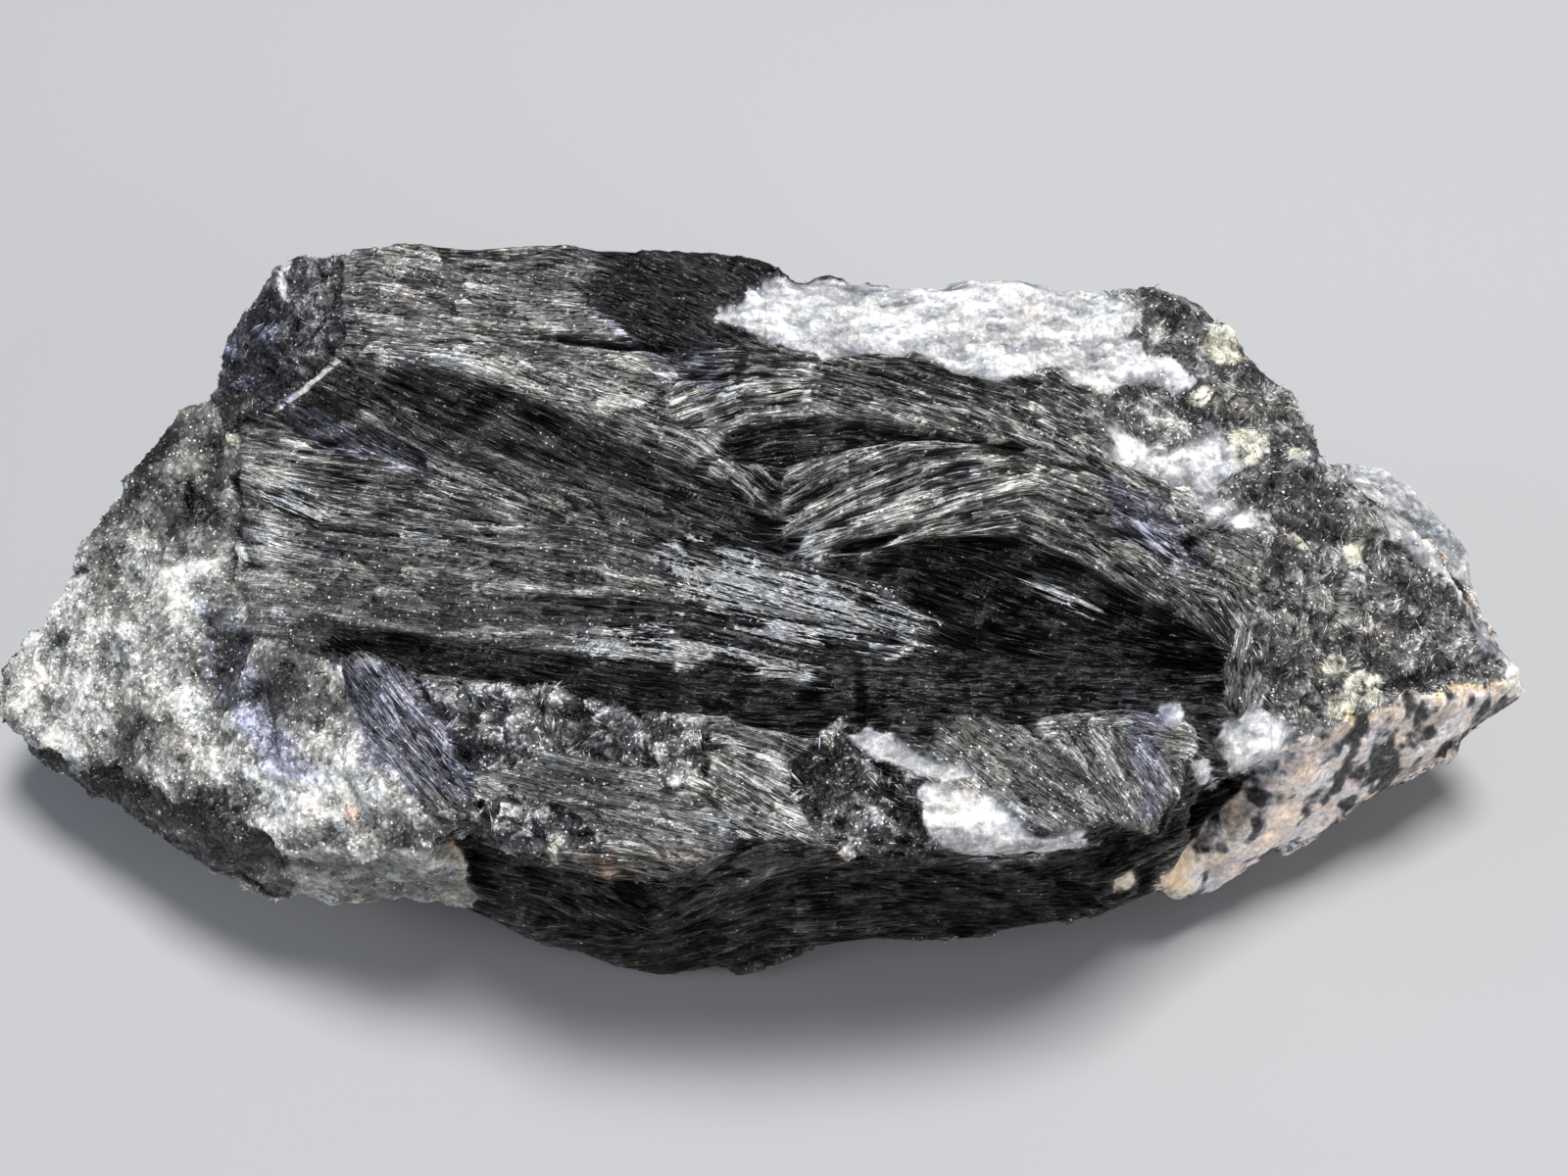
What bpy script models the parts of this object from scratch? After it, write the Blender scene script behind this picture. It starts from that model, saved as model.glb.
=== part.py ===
"""A hand specimen of ludwigite: one broken piece of rock, a fibrous black borate grown through white marble.

The rock is one solid. It is roughed out as overlapping lobes, each the hull of its own corners, which are
fused, broken up by a little relief that runs along the grain, and cut flat where the rock rests.
Metres, +Z up. +X runs to the right along the rock, +Y to its back. The origin is under the middle of its box.
"""

import math

import bmesh
import bpy
from mathutils import Vector, noise
from mathutils.geometry import intersect_point_line

MM = 0.001

# Driving sizes of the rock, in millimetres.
LENGTH = 95.5
DEPTH = 43.0
HEIGHT = 30.5

# Fineness of the solid.
FUSE_VOXEL = 0.8 * MM
TRIANGLES = 6400

# Relief of the broken faces: (height, wavelength along the grain, wavelength across it), in millimetres.
SWELL = (0.55, 17.0, 9.0)
SPLINTERS = (0.40, 9.0, 2.6)
CHIPS = (0.22, 2.8, 2.2)
GRAIN_DIP = math.radians(-8.0)  # the fibres run down towards the right end of the rock

# Corners of each lobe, in millimetres, in the rock's own frame before it is centred.
LOBES = {
    # The fibrous block: its broad upper face tilts to the front, and its front wall is undercut.
    "fibrous_block": [
        (-34.5, 13.5, 19), (-34, 15.3, 20), (-30, 18, 24), (-25.5, 17, 25.8), (-17.5, 15.2, 27.8),
        (-10, 13.8, 29.8), (-0.5, 12.5, 29.6),
        (22, 13, 26), (26, 12.5, 27), (29, 9.5, 25), (32, 6, 24), (33, 1.5, 23),
        (33, -11.5, 17), (28.5, -15, 19), (24, -18, 20), (17.5, -21.5, 21), (12, -22.5, 22),
        (-2, -22, 22), (-7, -23, 21), (-11.5, -21.5, 20), (-16.5, -20, 19.5),
        (-27, -14, 17.5), (-32.5, -3, 17), (-34, 8, 19),
        (-28, 19.5, 14), (-8, 20, 14), (10, 19.5, 13), (26, 16, 12),
        (-26, 10, 1.5), (-20, 16, 4), (0, 17, 2.5), (20, 15, 3), (28, 8, 1.5),
        (28, -6, 1.5), (16, -12, -1), (-12, -14, -1), (-24, -8, 1), (-16, 7, -1), (16, 7, -1),
    ],
    # The marble end: a wedge that thins out to the left tip.
    "marble_end": [
        (-48, -5.5, 9), (-47.5, -6, 7.5), (-44.8, -1.8, 12), (-42.8, 1.5, 14), (-41, 4.5, 15.5),
        (-38.5, 8.5, 17.5), (-36.5, 11, 18.5), (-35, 11.5, 18.5), (-30, -6, 17.5), (-31, 4, 18),
        (-43.5, -10, 7.5), (-37, -14, 9.5), (-28, -18, 14), (-18, -20.5, 18),
        (-17.5, -18.5, 7), (-29, -18, 7.5), (-34, -13.5, 7),
        (-40, 8, 8), (-32, 14, 6),
        (-42, -5, 4), (-32, -10, 2), (-36, 6, 4), (-24, -12, 0.5), (-26, 8, 1.5),
    ],
    # The right wing: its upper face falls to the right tip, and its granular flank spreads forwards.
    "right_wing": [
        (33, 2, 23), (39, -1, 20), (43, -4, 17), (46, -6, 14), (47.5, -6, 10.5),
        (33, -12, 17), (40, -9, 15.5), (46, -7, 13), (28, 0, 22),
        (44.3, -6.8, 7), (38.8, -8.3, 5), (35, -10.6, 4), (30.3, -14.5, 3.5), (26, -17, 4.5), (24.5, -17.5, 5.5),
        (36, -6, 2), (28, -10, 1), (30, 6, 1), (40, -2, 3), (40, 6, 8), (34, 10, 10),
    ],
    # The shoulder: a low lump of calcite behind the right wing.
    "back_shoulder": [
        (38, 12.5, 10), (41, 11.5, 10), (43.7, 11.5, 9), (46.6, 7, 8), (47, 2, 8), (46.5, -3, 7),
        (36, 14.5, 7), (27, 14, 8), (44, 6, 2), (38, 10, 2), (30, 10, 1.5), (32, 6, 16),
    ],
    # The belly: layers of fibre that bulge under the front edge.
    "front_belly": [
        (-17.5, -18.5, 7.5), (-13.5, -19.2, 5), (-10, -20, 2), (-7, -20.2, 1), (-3.5, -19.7, 1),
        (0, -18.8, 2), (12.5, -17.3, 4), (21.5, -17.5, 5), (25, -17, 6.5), (25, -15.5, 17),
        (-19.5, -18.5, 15), (-19.5, -16, 6), (4, -19, 18),
        (-12, -14, -1), (-5, -16, -1), (2, -14, -1), (12, -11.5, -1), (22, -10, 1),
    ],
}

# Swells and hollows of the upper face: the two ends of a line, how far it reaches, and its height, in millimetres.
RELIEF = {
    "calcite_hollow": ((3, 13, 28), (9, 13, 27.5), 3.5, -1.3),
    "fan_swell": ((6, -1, 26), (14, 2, 26), 4.5, 0.9),
    "silver_swell": ((-4, -6, 26), (8, -8, 25), 4.0, 0.5),
    "dark_hollow": ((12, -6, 25), (24, -9, 23), 4.0, -0.8),
    "lower_groove": ((-18, -9, 25), (22, -14, 22), 1.8, -1.0),
    "front_lumps": ((-12, -17, 22), (2, -17, 22), 2.5, 0.7),
    "chevron_lump": ((15, -18, 21), (21, -16, 21), 3.0, 1.0),
    "curl_ridge": ((28, -4, 22), (28, -9, 21), 2.2, 1.0),
    "marble_seam": ((-33.5, 7, 19), (-31.5, -7, 17), 1.6, -1.2),
    "marble_pit": ((-33, -9, 16), (-32, -11, 16), 2.2, -0.9),
    "upper_terrace": ((-26, 12, 26), (-4, 9, 28), 3.0, 0.7),
}

ROCK_COLOUR = (0.055, 0.055, 0.062, 1.0)
ROCK_ROUGHNESS = 0.45


def clear_scene():
    for old in list(bpy.data.objects):
        bpy.data.objects.remove(old)


def rock_material():
    material = bpy.data.materials.new("fibrous_rock")
    material.use_nodes = True
    shader = material.node_tree.nodes["Principled BSDF"]
    shader.inputs["Base Color"].default_value = ROCK_COLOUR
    shader.inputs["Roughness"].default_value = ROCK_ROUGHNESS
    return material


def add_lobe(shape, corners):
    """Adds the convex hull of a lobe's corners to shape."""
    points = [shape.verts.new(Vector(corner) * MM) for corner in corners]
    hull = bmesh.ops.convex_hull(shape, input=points)
    inside = {item for item in hull["geom_interior"] if isinstance(item, bmesh.types.BMVert)}
    bmesh.ops.delete(shape, geom=list(inside), context="VERTS")


def fused_lobes():
    """One object that holds all the lobes, fused by a voxel remesh into one closed skin."""
    shape = bmesh.new()
    for corners in LOBES.values():
        add_lobe(shape, corners)
    mesh = bpy.data.meshes.new("specimen")
    shape.to_mesh(mesh)
    shape.free()
    rock = bpy.data.objects.new("specimen", mesh)
    bpy.context.scene.collection.objects.link(rock)
    fuse = rock.modifiers.new("fuse", "REMESH")
    fuse.mode = "VOXEL"
    fuse.voxel_size = FUSE_VOXEL
    return rock


def apply_modifiers(rock):
    """Gives the rock the mesh that its modifiers make, and takes the modifiers off."""
    graph = bpy.context.evaluated_depsgraph_get()
    graph.update()
    made = bpy.data.meshes.new_from_object(rock.evaluated_get(graph))
    rock.modifiers.clear()
    rock.data = made


def grain_noise(point, layer):
    """Noise drawn out along the fibres, from -1 to 1, times the layer's height."""
    height, along, across = layer
    x, y, z = point / MM
    run = x * math.cos(GRAIN_DIP) + y * math.sin(GRAIN_DIP)
    side = y * math.cos(GRAIN_DIP) - x * math.sin(GRAIN_DIP)
    return height * MM * noise.noise(Vector((run / along, side / across, z / across)))


def roughen(rock):
    """Moves the skin along its normals by the relief of the broken faces."""
    shape = bmesh.new()
    shape.from_mesh(rock.data)
    shape.normal_update()
    for vertex in shape.verts:
        broken = sum(grain_noise(vertex.co, layer) for layer in (SWELL, SPLINTERS, CHIPS))
        vertex.co += vertex.normal * (broken + relief_height(vertex.co))
    shape.to_mesh(rock.data)
    shape.free()


def relief_height(point):
    """How far the swells and hollows move a point of the skin."""
    total = 0.0
    for start, end, reach, height in RELIEF.values():
        share = intersect_point_line(point, Vector(start) * MM, Vector(end) * MM)[1]
        nearest = Vector(start).lerp(Vector(end), min(max(share, 0.0), 1.0)) * MM
        total += height * MM * math.exp(-(((point - nearest).length / (reach * MM)) ** 2))
    return total


def thin_out(rock):
    """Brings the rock down to its number of triangles."""
    rock.data.calc_loop_triangles()
    thin = rock.modifiers.new("thin", "DECIMATE")
    thin.ratio = TRIANGLES / len(rock.data.loop_triangles)
    thin.use_collapse_triangulate = True
    apply_modifiers(rock)


def cut_foot(rock):
    """Cuts the rock flat at z = 0, where it rests, and closes the cut."""
    shape = bmesh.new()
    shape.from_mesh(rock.data)
    everything = shape.verts[:] + shape.edges[:] + shape.faces[:]
    cut = bmesh.ops.bisect_plane(
        shape, geom=everything, plane_co=(0, 0, 0), plane_no=(0, 0, 1), clear_inner=True
    )
    rim = [item for item in cut["geom_cut"] if isinstance(item, bmesh.types.BMEdge)]
    bmesh.ops.triangle_fill(shape, edges=rim, use_beauty=True, normal=(0, 0, -1))
    bmesh.ops.recalc_face_normals(shape, faces=shape.faces[:])
    shape.to_mesh(rock.data)
    shape.free()


def fit_to_box(rock):
    """Centres the rock over the origin and brings its box to the driving sizes."""
    corners = [vertex.co for vertex in rock.data.vertices]
    low = Vector(min(point[axis] for point in corners) for axis in range(3))
    high = Vector(max(point[axis] for point in corners) for axis in range(3))
    middle = (low + high) / 2
    sizes = (LENGTH, DEPTH, HEIGHT)
    for point in corners:
        for axis in range(3):
            foot = low.z if axis == 2 else middle[axis]
            point[axis] = (point[axis] - foot) * sizes[axis] * MM / (high[axis] - low[axis])


def make_specimen():
    rock = fused_lobes()
    apply_modifiers(rock)
    roughen(rock)
    thin_out(rock)
    cut_foot(rock)
    fit_to_box(rock)
    rock.data.materials.append(rock_material())
    rock.data.update()
    return rock


clear_scene()
make_specimen()
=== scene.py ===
"""A hand specimen of ludwigite: silky black fibres and white calcite, grown together with sugary marble.

The rock lies on a pale table top under a soft lamp. Its body is one closed skin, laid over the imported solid;
on it lie single fibres and flakes, the marble's grains, and the granular parts' dark grains and blades.
Metres, +Z up. +X runs to the right along the rock, +Y to its back.
"""

import math

import bpy
import numpy as np
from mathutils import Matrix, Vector
from mathutils.bvhtree import BVHTree


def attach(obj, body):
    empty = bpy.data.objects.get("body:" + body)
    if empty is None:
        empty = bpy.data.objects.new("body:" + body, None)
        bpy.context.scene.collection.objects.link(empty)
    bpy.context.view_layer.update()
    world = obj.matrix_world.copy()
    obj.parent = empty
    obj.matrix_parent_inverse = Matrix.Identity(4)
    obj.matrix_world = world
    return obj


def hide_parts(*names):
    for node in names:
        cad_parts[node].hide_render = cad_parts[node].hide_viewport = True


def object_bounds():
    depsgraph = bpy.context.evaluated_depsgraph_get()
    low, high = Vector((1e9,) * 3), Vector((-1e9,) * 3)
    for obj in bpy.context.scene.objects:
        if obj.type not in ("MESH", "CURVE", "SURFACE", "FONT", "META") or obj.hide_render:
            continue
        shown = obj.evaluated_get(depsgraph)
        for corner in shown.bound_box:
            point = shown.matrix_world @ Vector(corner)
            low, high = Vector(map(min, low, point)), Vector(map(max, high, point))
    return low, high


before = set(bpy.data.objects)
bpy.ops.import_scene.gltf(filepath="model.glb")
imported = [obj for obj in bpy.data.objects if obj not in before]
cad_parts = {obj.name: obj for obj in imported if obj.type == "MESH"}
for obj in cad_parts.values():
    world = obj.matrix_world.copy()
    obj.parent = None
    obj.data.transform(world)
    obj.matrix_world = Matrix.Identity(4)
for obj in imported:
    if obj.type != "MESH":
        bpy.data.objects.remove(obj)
cad_bounds = [list(corner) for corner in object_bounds()]
bpy.ops.object.select_all(action="DESELECT")
MM = 0.001

# ---- Table top, lamps and camera ---------------------------------------------------------------------------
# A pale, matt table top, one broad lamp over the rock, a weak one on each side, and a dim grey room. The
# camera looks down on the rock from the front, as one would at a stone on a desk.


def plug(tree, node, inputs):
    """Sets a node's inputs to values, or links them to other nodes' outputs."""
    for key, value in dict(inputs).items():
        if isinstance(value, bpy.types.NodeSocket):
            tree.links.new(value, node.inputs[key])
        else:
            node.inputs[key].default_value = value


def new_material(name):
    """A material with its node tree and its shader."""
    material = bpy.data.materials.new(name)
    material.use_nodes = True
    return material, material.node_tree, material.node_tree.nodes["Principled BSDF"]


bpy.ops.mesh.primitive_plane_add(size=4.0, location=(0, 0, 0))
table_top = bpy.context.object
table_top.name = "table_top"
table_paint, tree, shader = new_material("table_paint")
plug(tree, shader, {"Base Color": (0.50, 0.51, 0.53, 1), "Roughness": 0.85})
table_top.data.materials.append(table_paint)

room = bpy.data.worlds.new("room")
room.use_nodes = True
plug(room.node_tree, room.node_tree.nodes["Background"], {"Color": (0.80, 0.86, 1.0, 1), "Strength": 0.16})
bpy.context.scene.world = room

MIDDLE = Vector((1.75, 1.5, 14.0)) * MM  # what the camera and the lamps look at


def aim(thing, place):
    """Puts a lamp or a camera at a place, turned towards the middle of the rock."""
    thing.location = place
    thing.rotation_euler = (MIDDLE - place).to_track_quat("-Z", "Y").to_euler()


LAMPS = {  # name: (place in metres, width in metres, watts, colour)
    "overhead_lamp": ((0.06, 0.05, 0.50), 0.14, 2.6, (1.0, 0.98, 0.95)),
    "left_lamp": ((-0.45, -0.10, 0.30), 0.30, 0.5, (0.88, 0.93, 1.0)),
    "right_lamp": ((0.42, -0.30, 0.22), 0.30, 0.8, (1.0, 0.96, 0.92)),
}
for lamp_name, (place, width, watts, colour) in LAMPS.items():
    lamp = bpy.data.objects.new(lamp_name, bpy.data.lights.new(lamp_name, "AREA"))
    lamp.data.size = width
    lamp.data.energy = watts
    lamp.data.color = colour
    aim(lamp, Vector(place))
    bpy.context.scene.collection.objects.link(lamp)

VIEW_WIDTH, VIEW_HEIGHT = 1600, 1200  # the camera's view, in the pixels that places on the rock are given in
HALF_ANGLE = math.radians(20)
FOCAL = VIEW_WIDTH / 2 / math.tan(HALF_ANGLE)
EYE = Vector((1.75, -73.72, 125.52)) * MM
camera = bpy.data.objects.new("camera", bpy.data.cameras.new("camera"))
camera.data.angle = 2 * HALF_ANGLE
camera.data.clip_start = 1 * MM
aim(camera, EYE)
bpy.context.scene.collection.objects.link(camera)
bpy.context.scene.camera = camera
bpy.context.scene.view_settings.view_transform = "Standard"

# ---- The rock's body ---------------------------------------------------------------------------------------
# One broken piece: fibrous borate in the middle, sugary marble at the left end, calcite along the crest and
# in veins, a granular wing and a pinkish flank at the right. It was split off with a hammer, so every face is
# torn. Its zones and bundles of fibre are placed as the camera sees them, and go on at random out of sight.

SKIN_VOXEL = 0.26 * MM
PIXEL = 0.0612 * MM  # what one pixel of the view covers at the rock's middle
LIGHTEN = 1.15  # the bundles' lightness is multiplied by this

AHEAD = (MIDDLE - EYE).normalized()
RIGHT = AHEAD.cross(Vector((0, 0, 1))).normalized()
UP = RIGHT.cross(AHEAD)


def seen(points):
    """Where the camera sees each point, in pixels from the view's top left corner."""
    from_eye = points - np.array(EYE)
    depth = from_eye @ np.array(AHEAD)
    across = VIEW_WIDTH / 2 + FOCAL * (from_eye @ np.array(RIGHT)) / depth
    down = VIEW_HEIGHT / 2 - FOCAL * (from_eye @ np.array(UP)) / depth
    return np.stack([across, down], 1)


THROWS = np.random.default_rng(7).uniform(-1, 1, (4096, 3)).T.copy()  # the numbers that all noise is made of
ASKEW = np.linalg.qr(np.random.default_rng(8).normal(0, 1, (3, 3)))[0]  # turns its grid from the rock's faces
NOISE_HEIGHT = 1.7  # brings smooth noise to about -1 to 1
SEED_SHIFT = 0.37  # how far the next seed's noise is moved, in lumps
FACET_SCATTER = 0.45  # how far a facet's middle lies from its cell's, in cells


def throw(cells, seed):
    """Three numbers from -1 to 1 for each column of three whole numbers, the same each time."""
    blend = cells[0] * 73856093 ^ cells[1] * 19349663 ^ cells[2] * 83492791
    blend = (blend ^ (blend >> 13)) * 1274126177 + seed * 7919
    return THROWS[:, (blend ^ (blend >> 15)) % THROWS.shape[1]]


def rough(points, size, seed=0, octaves=1):
    """Smooth noise at each point, about -1 to 1. size is the size of its lumps, one length or one for each
    axis, and each further octave adds lumps half as large and half as high."""
    total = np.zeros(len(points))
    for octave in range(octaves):
        scaled = (points / size @ ASKEW * 2**octave + SEED_SHIFT * seed).T.copy()
        cell = np.floor(scaled).astype(np.int64)
        part = scaled - cell
        ease = part * part * (3 - 2 * part)
        shares = np.stack([1 - ease, ease])
        for first, second, third in np.ndindex(2, 2, 2):
            corner = np.array([[first], [second], [third]])
            slope = throw(cell + corner, seed + octave)
            share = shares[first, 0] * shares[second, 1] * shares[third, 2]
            total += share * (slope * (part - corner)).sum(axis=0) * NOISE_HEIGHT / 2**octave
    return total


def drawn_out(length, width):
    """The size of lumps or facets that are that long along X, or along the fibre, and that wide across."""
    return np.array([length, width, width])


def facets(points, size, seed=0):
    """Flat broken facets of that size: each point's height, about -1 to 1, its facet's own three numbers, and
    the way to the point from the middle of its facet."""
    scaled = (points / size @ ASKEW).T.copy()
    home = np.floor(scaled).astype(np.int64)
    nearest = np.full(len(points), np.inf)
    numbers, away = np.zeros(scaled.shape), np.zeros(scaled.shape)
    for step in np.ndindex(3, 3, 3):
        cell = home + np.array(step)[:, None] - 1
        gap = scaled - (cell + 0.5 + FACET_SCATTER * throw(cell, seed))
        distance = (gap**2).sum(axis=0)
        closer = np.flatnonzero(distance < nearest)
        nearest[closer] = distance[closer]
        numbers[:, closer] = throw(cell[:, closer], seed + 1)
        away[:, closer] = gap[:, closer]
    heights = 0.5 * numbers[0] + (numbers * away).sum(axis=0)
    return heights, numbers.T, away.T @ ASKEW.T * size


def held(values):
    """The values, none below 0 or above 1."""
    return np.clip(values, 0, 1)


def beside(line, places):
    """How many pixels each place lies from a line through these points."""
    corners = np.array(line, float)
    nearest = np.full(len(places), np.inf)
    for start, end in zip(corners[:-1], corners[1:]):
        leg = end - start
        offset = places - start
        share = held(offset @ leg / (leg @ leg))
        nearest = np.minimum(nearest, np.linalg.norm(offset - share[:, None] * leg, axis=1))
    return nearest


def cover(outline, places, edge):
    """1 for a place well inside the outline, 0 well outside, with a soft edge that many pixels wide."""
    corners = np.array(outline, float)
    within_reach = (places > corners.min(axis=0) - edge) & (places < corners.max(axis=0) + edge)
    near = np.flatnonzero(within_reach.all(axis=1))
    covered = np.zeros(len(places))
    places = places[near]
    within = np.zeros(len(places), bool)
    for start, end in zip(corners, np.roll(corners, -1, axis=0)):
        side = end - start
        crossed = (start[1] > places[:, 1]) != (end[1] > places[:, 1])
        rise = side[1] if side[1] else 1e-9
        within ^= crossed & (places[:, 0] < side[0] * (places[:, 1] - start[1]) / rise + start[0])
    nearest = beside([*outline, outline[0]], places)
    covered[near] = held(0.5 + np.where(within, nearest, -nearest) / edge)
    return covered


# Outlines of what isn't black fibre, each as the camera sees it.
OUTLINES = {
    "marble": [
        [
            (-30, 720), (30, 635), (70, 570), (150, 440), (190, 400), (240, 425), (246, 462), (232, 488),
            (244, 512), (234, 540), (252, 566), (238, 592), (254, 618), (246, 646), (292, 656), (346, 678),
            (352, 720), (382, 766), (420, 800), (446, 830), (470, 850), (420, 872), (280, 865), (150, 840),
            (50, 800),
        ],
    ],
    "calcite": [
        [
            (735, 322), (800, 280), (940, 280), (1000, 272), (1100, 285), (1158, 310), (1150, 345),
            (1172, 365), (1130, 382), (1080, 372), (1010, 385), (955, 362), (850, 362), (790, 352),
        ],
        [
            (1090, 374), (1130, 382), (1158, 360), (1190, 364), (1216, 392), (1210, 406), (1184, 386),
            (1160, 382), (1136, 402), (1100, 392),
        ],
        [
            (1126, 438), (1150, 446), (1186, 462), (1206, 456), (1236, 436), (1256, 446), (1262, 478),
            (1232, 502), (1200, 492), (1172, 480), (1140, 462),
        ],
        [(1216, 510), (1256, 508), (1292, 538), (1262, 540), (1232, 530)],
        [
            (934, 806), (960, 800), (1010, 815), (1040, 835), (1060, 852), (1112, 853), (1075, 878),
            (1010, 878), (972, 868), (945, 842),
        ],
        [(866, 744), (915, 754), (990, 784), (992, 794), (930, 784), (888, 768)],
        [(1250, 752), (1272, 732), (1300, 732), (1322, 764), (1300, 784), (1262, 790)],
        [(1216, 774), (1238, 776), (1240, 798), (1225, 800)],
        [(1368, 484), (1400, 462), (1450, 466), (1516, 550), (1536, 650), (1470, 592), (1402, 522)],
        [(1345, 470), (1352, 470), (1392, 518), (1382, 520)],
        [(1500, 610), (1530, 640), (1560, 690), (1546, 702), (1500, 640)],
        [(1182, 724), (1196, 722), (1204, 744), (1190, 748)],
    ],
    "flank": [
        [
            (1172, 932), (1186, 886), (1222, 858), (1246, 828), (1268, 800), (1345, 742), (1430, 715),
            (1520, 692), (1545, 678), (1572, 700), (1560, 740), (1490, 780), (1370, 835), (1215, 940),
        ],
    ],
    "grey_side": [[(232, 862), (290, 862), (380, 874), (465, 862), (486, 935), (285, 920), (222, 885)]],
    "left_rim": [
        [(-20, 742), (60, 768), (130, 795), (250, 842), (290, 870), (300, 930), (180, 860), (40, 810)],
    ],
    "wing": [
        [
            (1165, 296), (1280, 340), (1340, 420), (1360, 490), (1510, 620), (1555, 690), (1440, 708),
            (1350, 742), (1300, 735), (1272, 640), (1290, 545), (1240, 505), (1130, 440), (1120, 400),
            (1190, 415), (1165, 345),
        ],
    ],
    "knuckles": [
        [
            (425, 695), (560, 700), (690, 730), (724, 745), (722, 790), (690, 800), (640, 775), (560, 765),
            (500, 790), (480, 790), (456, 740),
        ],
        [
            (808, 776), (830, 752), (862, 730), (905, 745), (945, 800), (962, 872), (870, 878), (838, 856),
            (812, 812),
        ],
        [(470, 812), (540, 810), (600, 840), (620, 866), (540, 872), (470, 856)],
    ],
    "corner": [
        [(205, 400), (215, 340), (280, 300), (286, 262), (352, 258), (350, 350), (300, 400), (240, 440)],
    ],
    "belly": [
        [
            (455, 864), (560, 876), (740, 872), (860, 870), (1000, 880), (1110, 866), (1200, 822),
            (1290, 792), (1245, 840), (1180, 935), (980, 960), (770, 985), (660, 1010), (550, 975),
            (478, 938),
        ],
    ],
    "violet": [
        [(340, 672), (430, 690), (490, 770), (484, 810), (440, 812), (370, 770)],
        [(600, 290), (700, 290), (745, 350), (740, 400), (690, 390), (610, 330)],
        [(285, 398), (340, 425), (440, 465), (430, 485), (330, 460), (280, 425)],
        [(215, 340), (275, 300), (300, 330), (270, 400), (225, 410)],
        [(200, 610), (245, 640), (290, 740), (330, 800), (280, 790), (215, 700)],
        [(1110, 470), (1160, 500), (1230, 560), (1210, 580), (1140, 545)],
        [(1140, 690), (1190, 730), (1190, 830), (1160, 830)],
    ],
    "rust": [
        [(602, 872), (630, 866), (640, 890), (626, 922), (606, 912)],
        [(455, 850), (466, 846), (470, 864), (458, 868)],
        [(355, 822), (368, 822), (368, 834), (356, 834)],
    ],
    "ochre": [
        [(1470, 703), (1530, 690), (1530, 697), (1472, 711)],
        [(1375, 728), (1405, 722), (1408, 738), (1380, 742)],
    ],
}

# Thin veins of calcite, and how far they reach to each side in pixels.
VEINS = [
    ([(344, 368), (312, 394), (286, 418)], 3.0), ([(286, 418), (270, 430), (244, 454)], 1.4),
    ([(290, 304), (288, 278), (300, 263), (354, 258)], 3.4),
    ([(1150, 374), (1170, 365), (1192, 369), (1208, 386)], 6.0),
]

# Pale, yellowish nodules in the wing and at the flank's ends, and how far each reaches.
NODULES = [
    ((1275, 456), 21), ((1228, 408), 10), ((1246, 356), 19), ((1380, 560), 12), ((1359, 678), 11),
    ((1389, 699), 17), ((1368, 721), 13), ((1325, 555), 8), ((1203, 896), 19), ((1148, 896), 8),
    ((566, 862), 9), ((1547, 692), 14), ((1322, 470), 7), ((238, 448), 8), ((1406, 690), 8),
]

# Plates of fibre that reflect the light, painted into their lightness: how light the painted reflection is,
# and how wide their ragged fringe is in pixels.
PLATES = [
    ([(684, 562), (760, 566), (850, 592), (950, 632), (945, 660), (860, 656), (760, 634), (690, 606)],
     1.0, 60),
    ([(270, 502), (296, 505), (336, 524), (332, 533), (296, 524), (272, 512)], 1.0, 10),
    ([(1064, 594), (1122, 622), (1119, 631), (1062, 603)], 0.9, 14),
    ([(585, 652), (640, 644), (750, 650), (765, 664), (700, 682), (590, 678)], 0.85, 30),
    ([(753, 664), (828, 674), (824, 696), (755, 688)], 0.8, 24),
]
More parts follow.
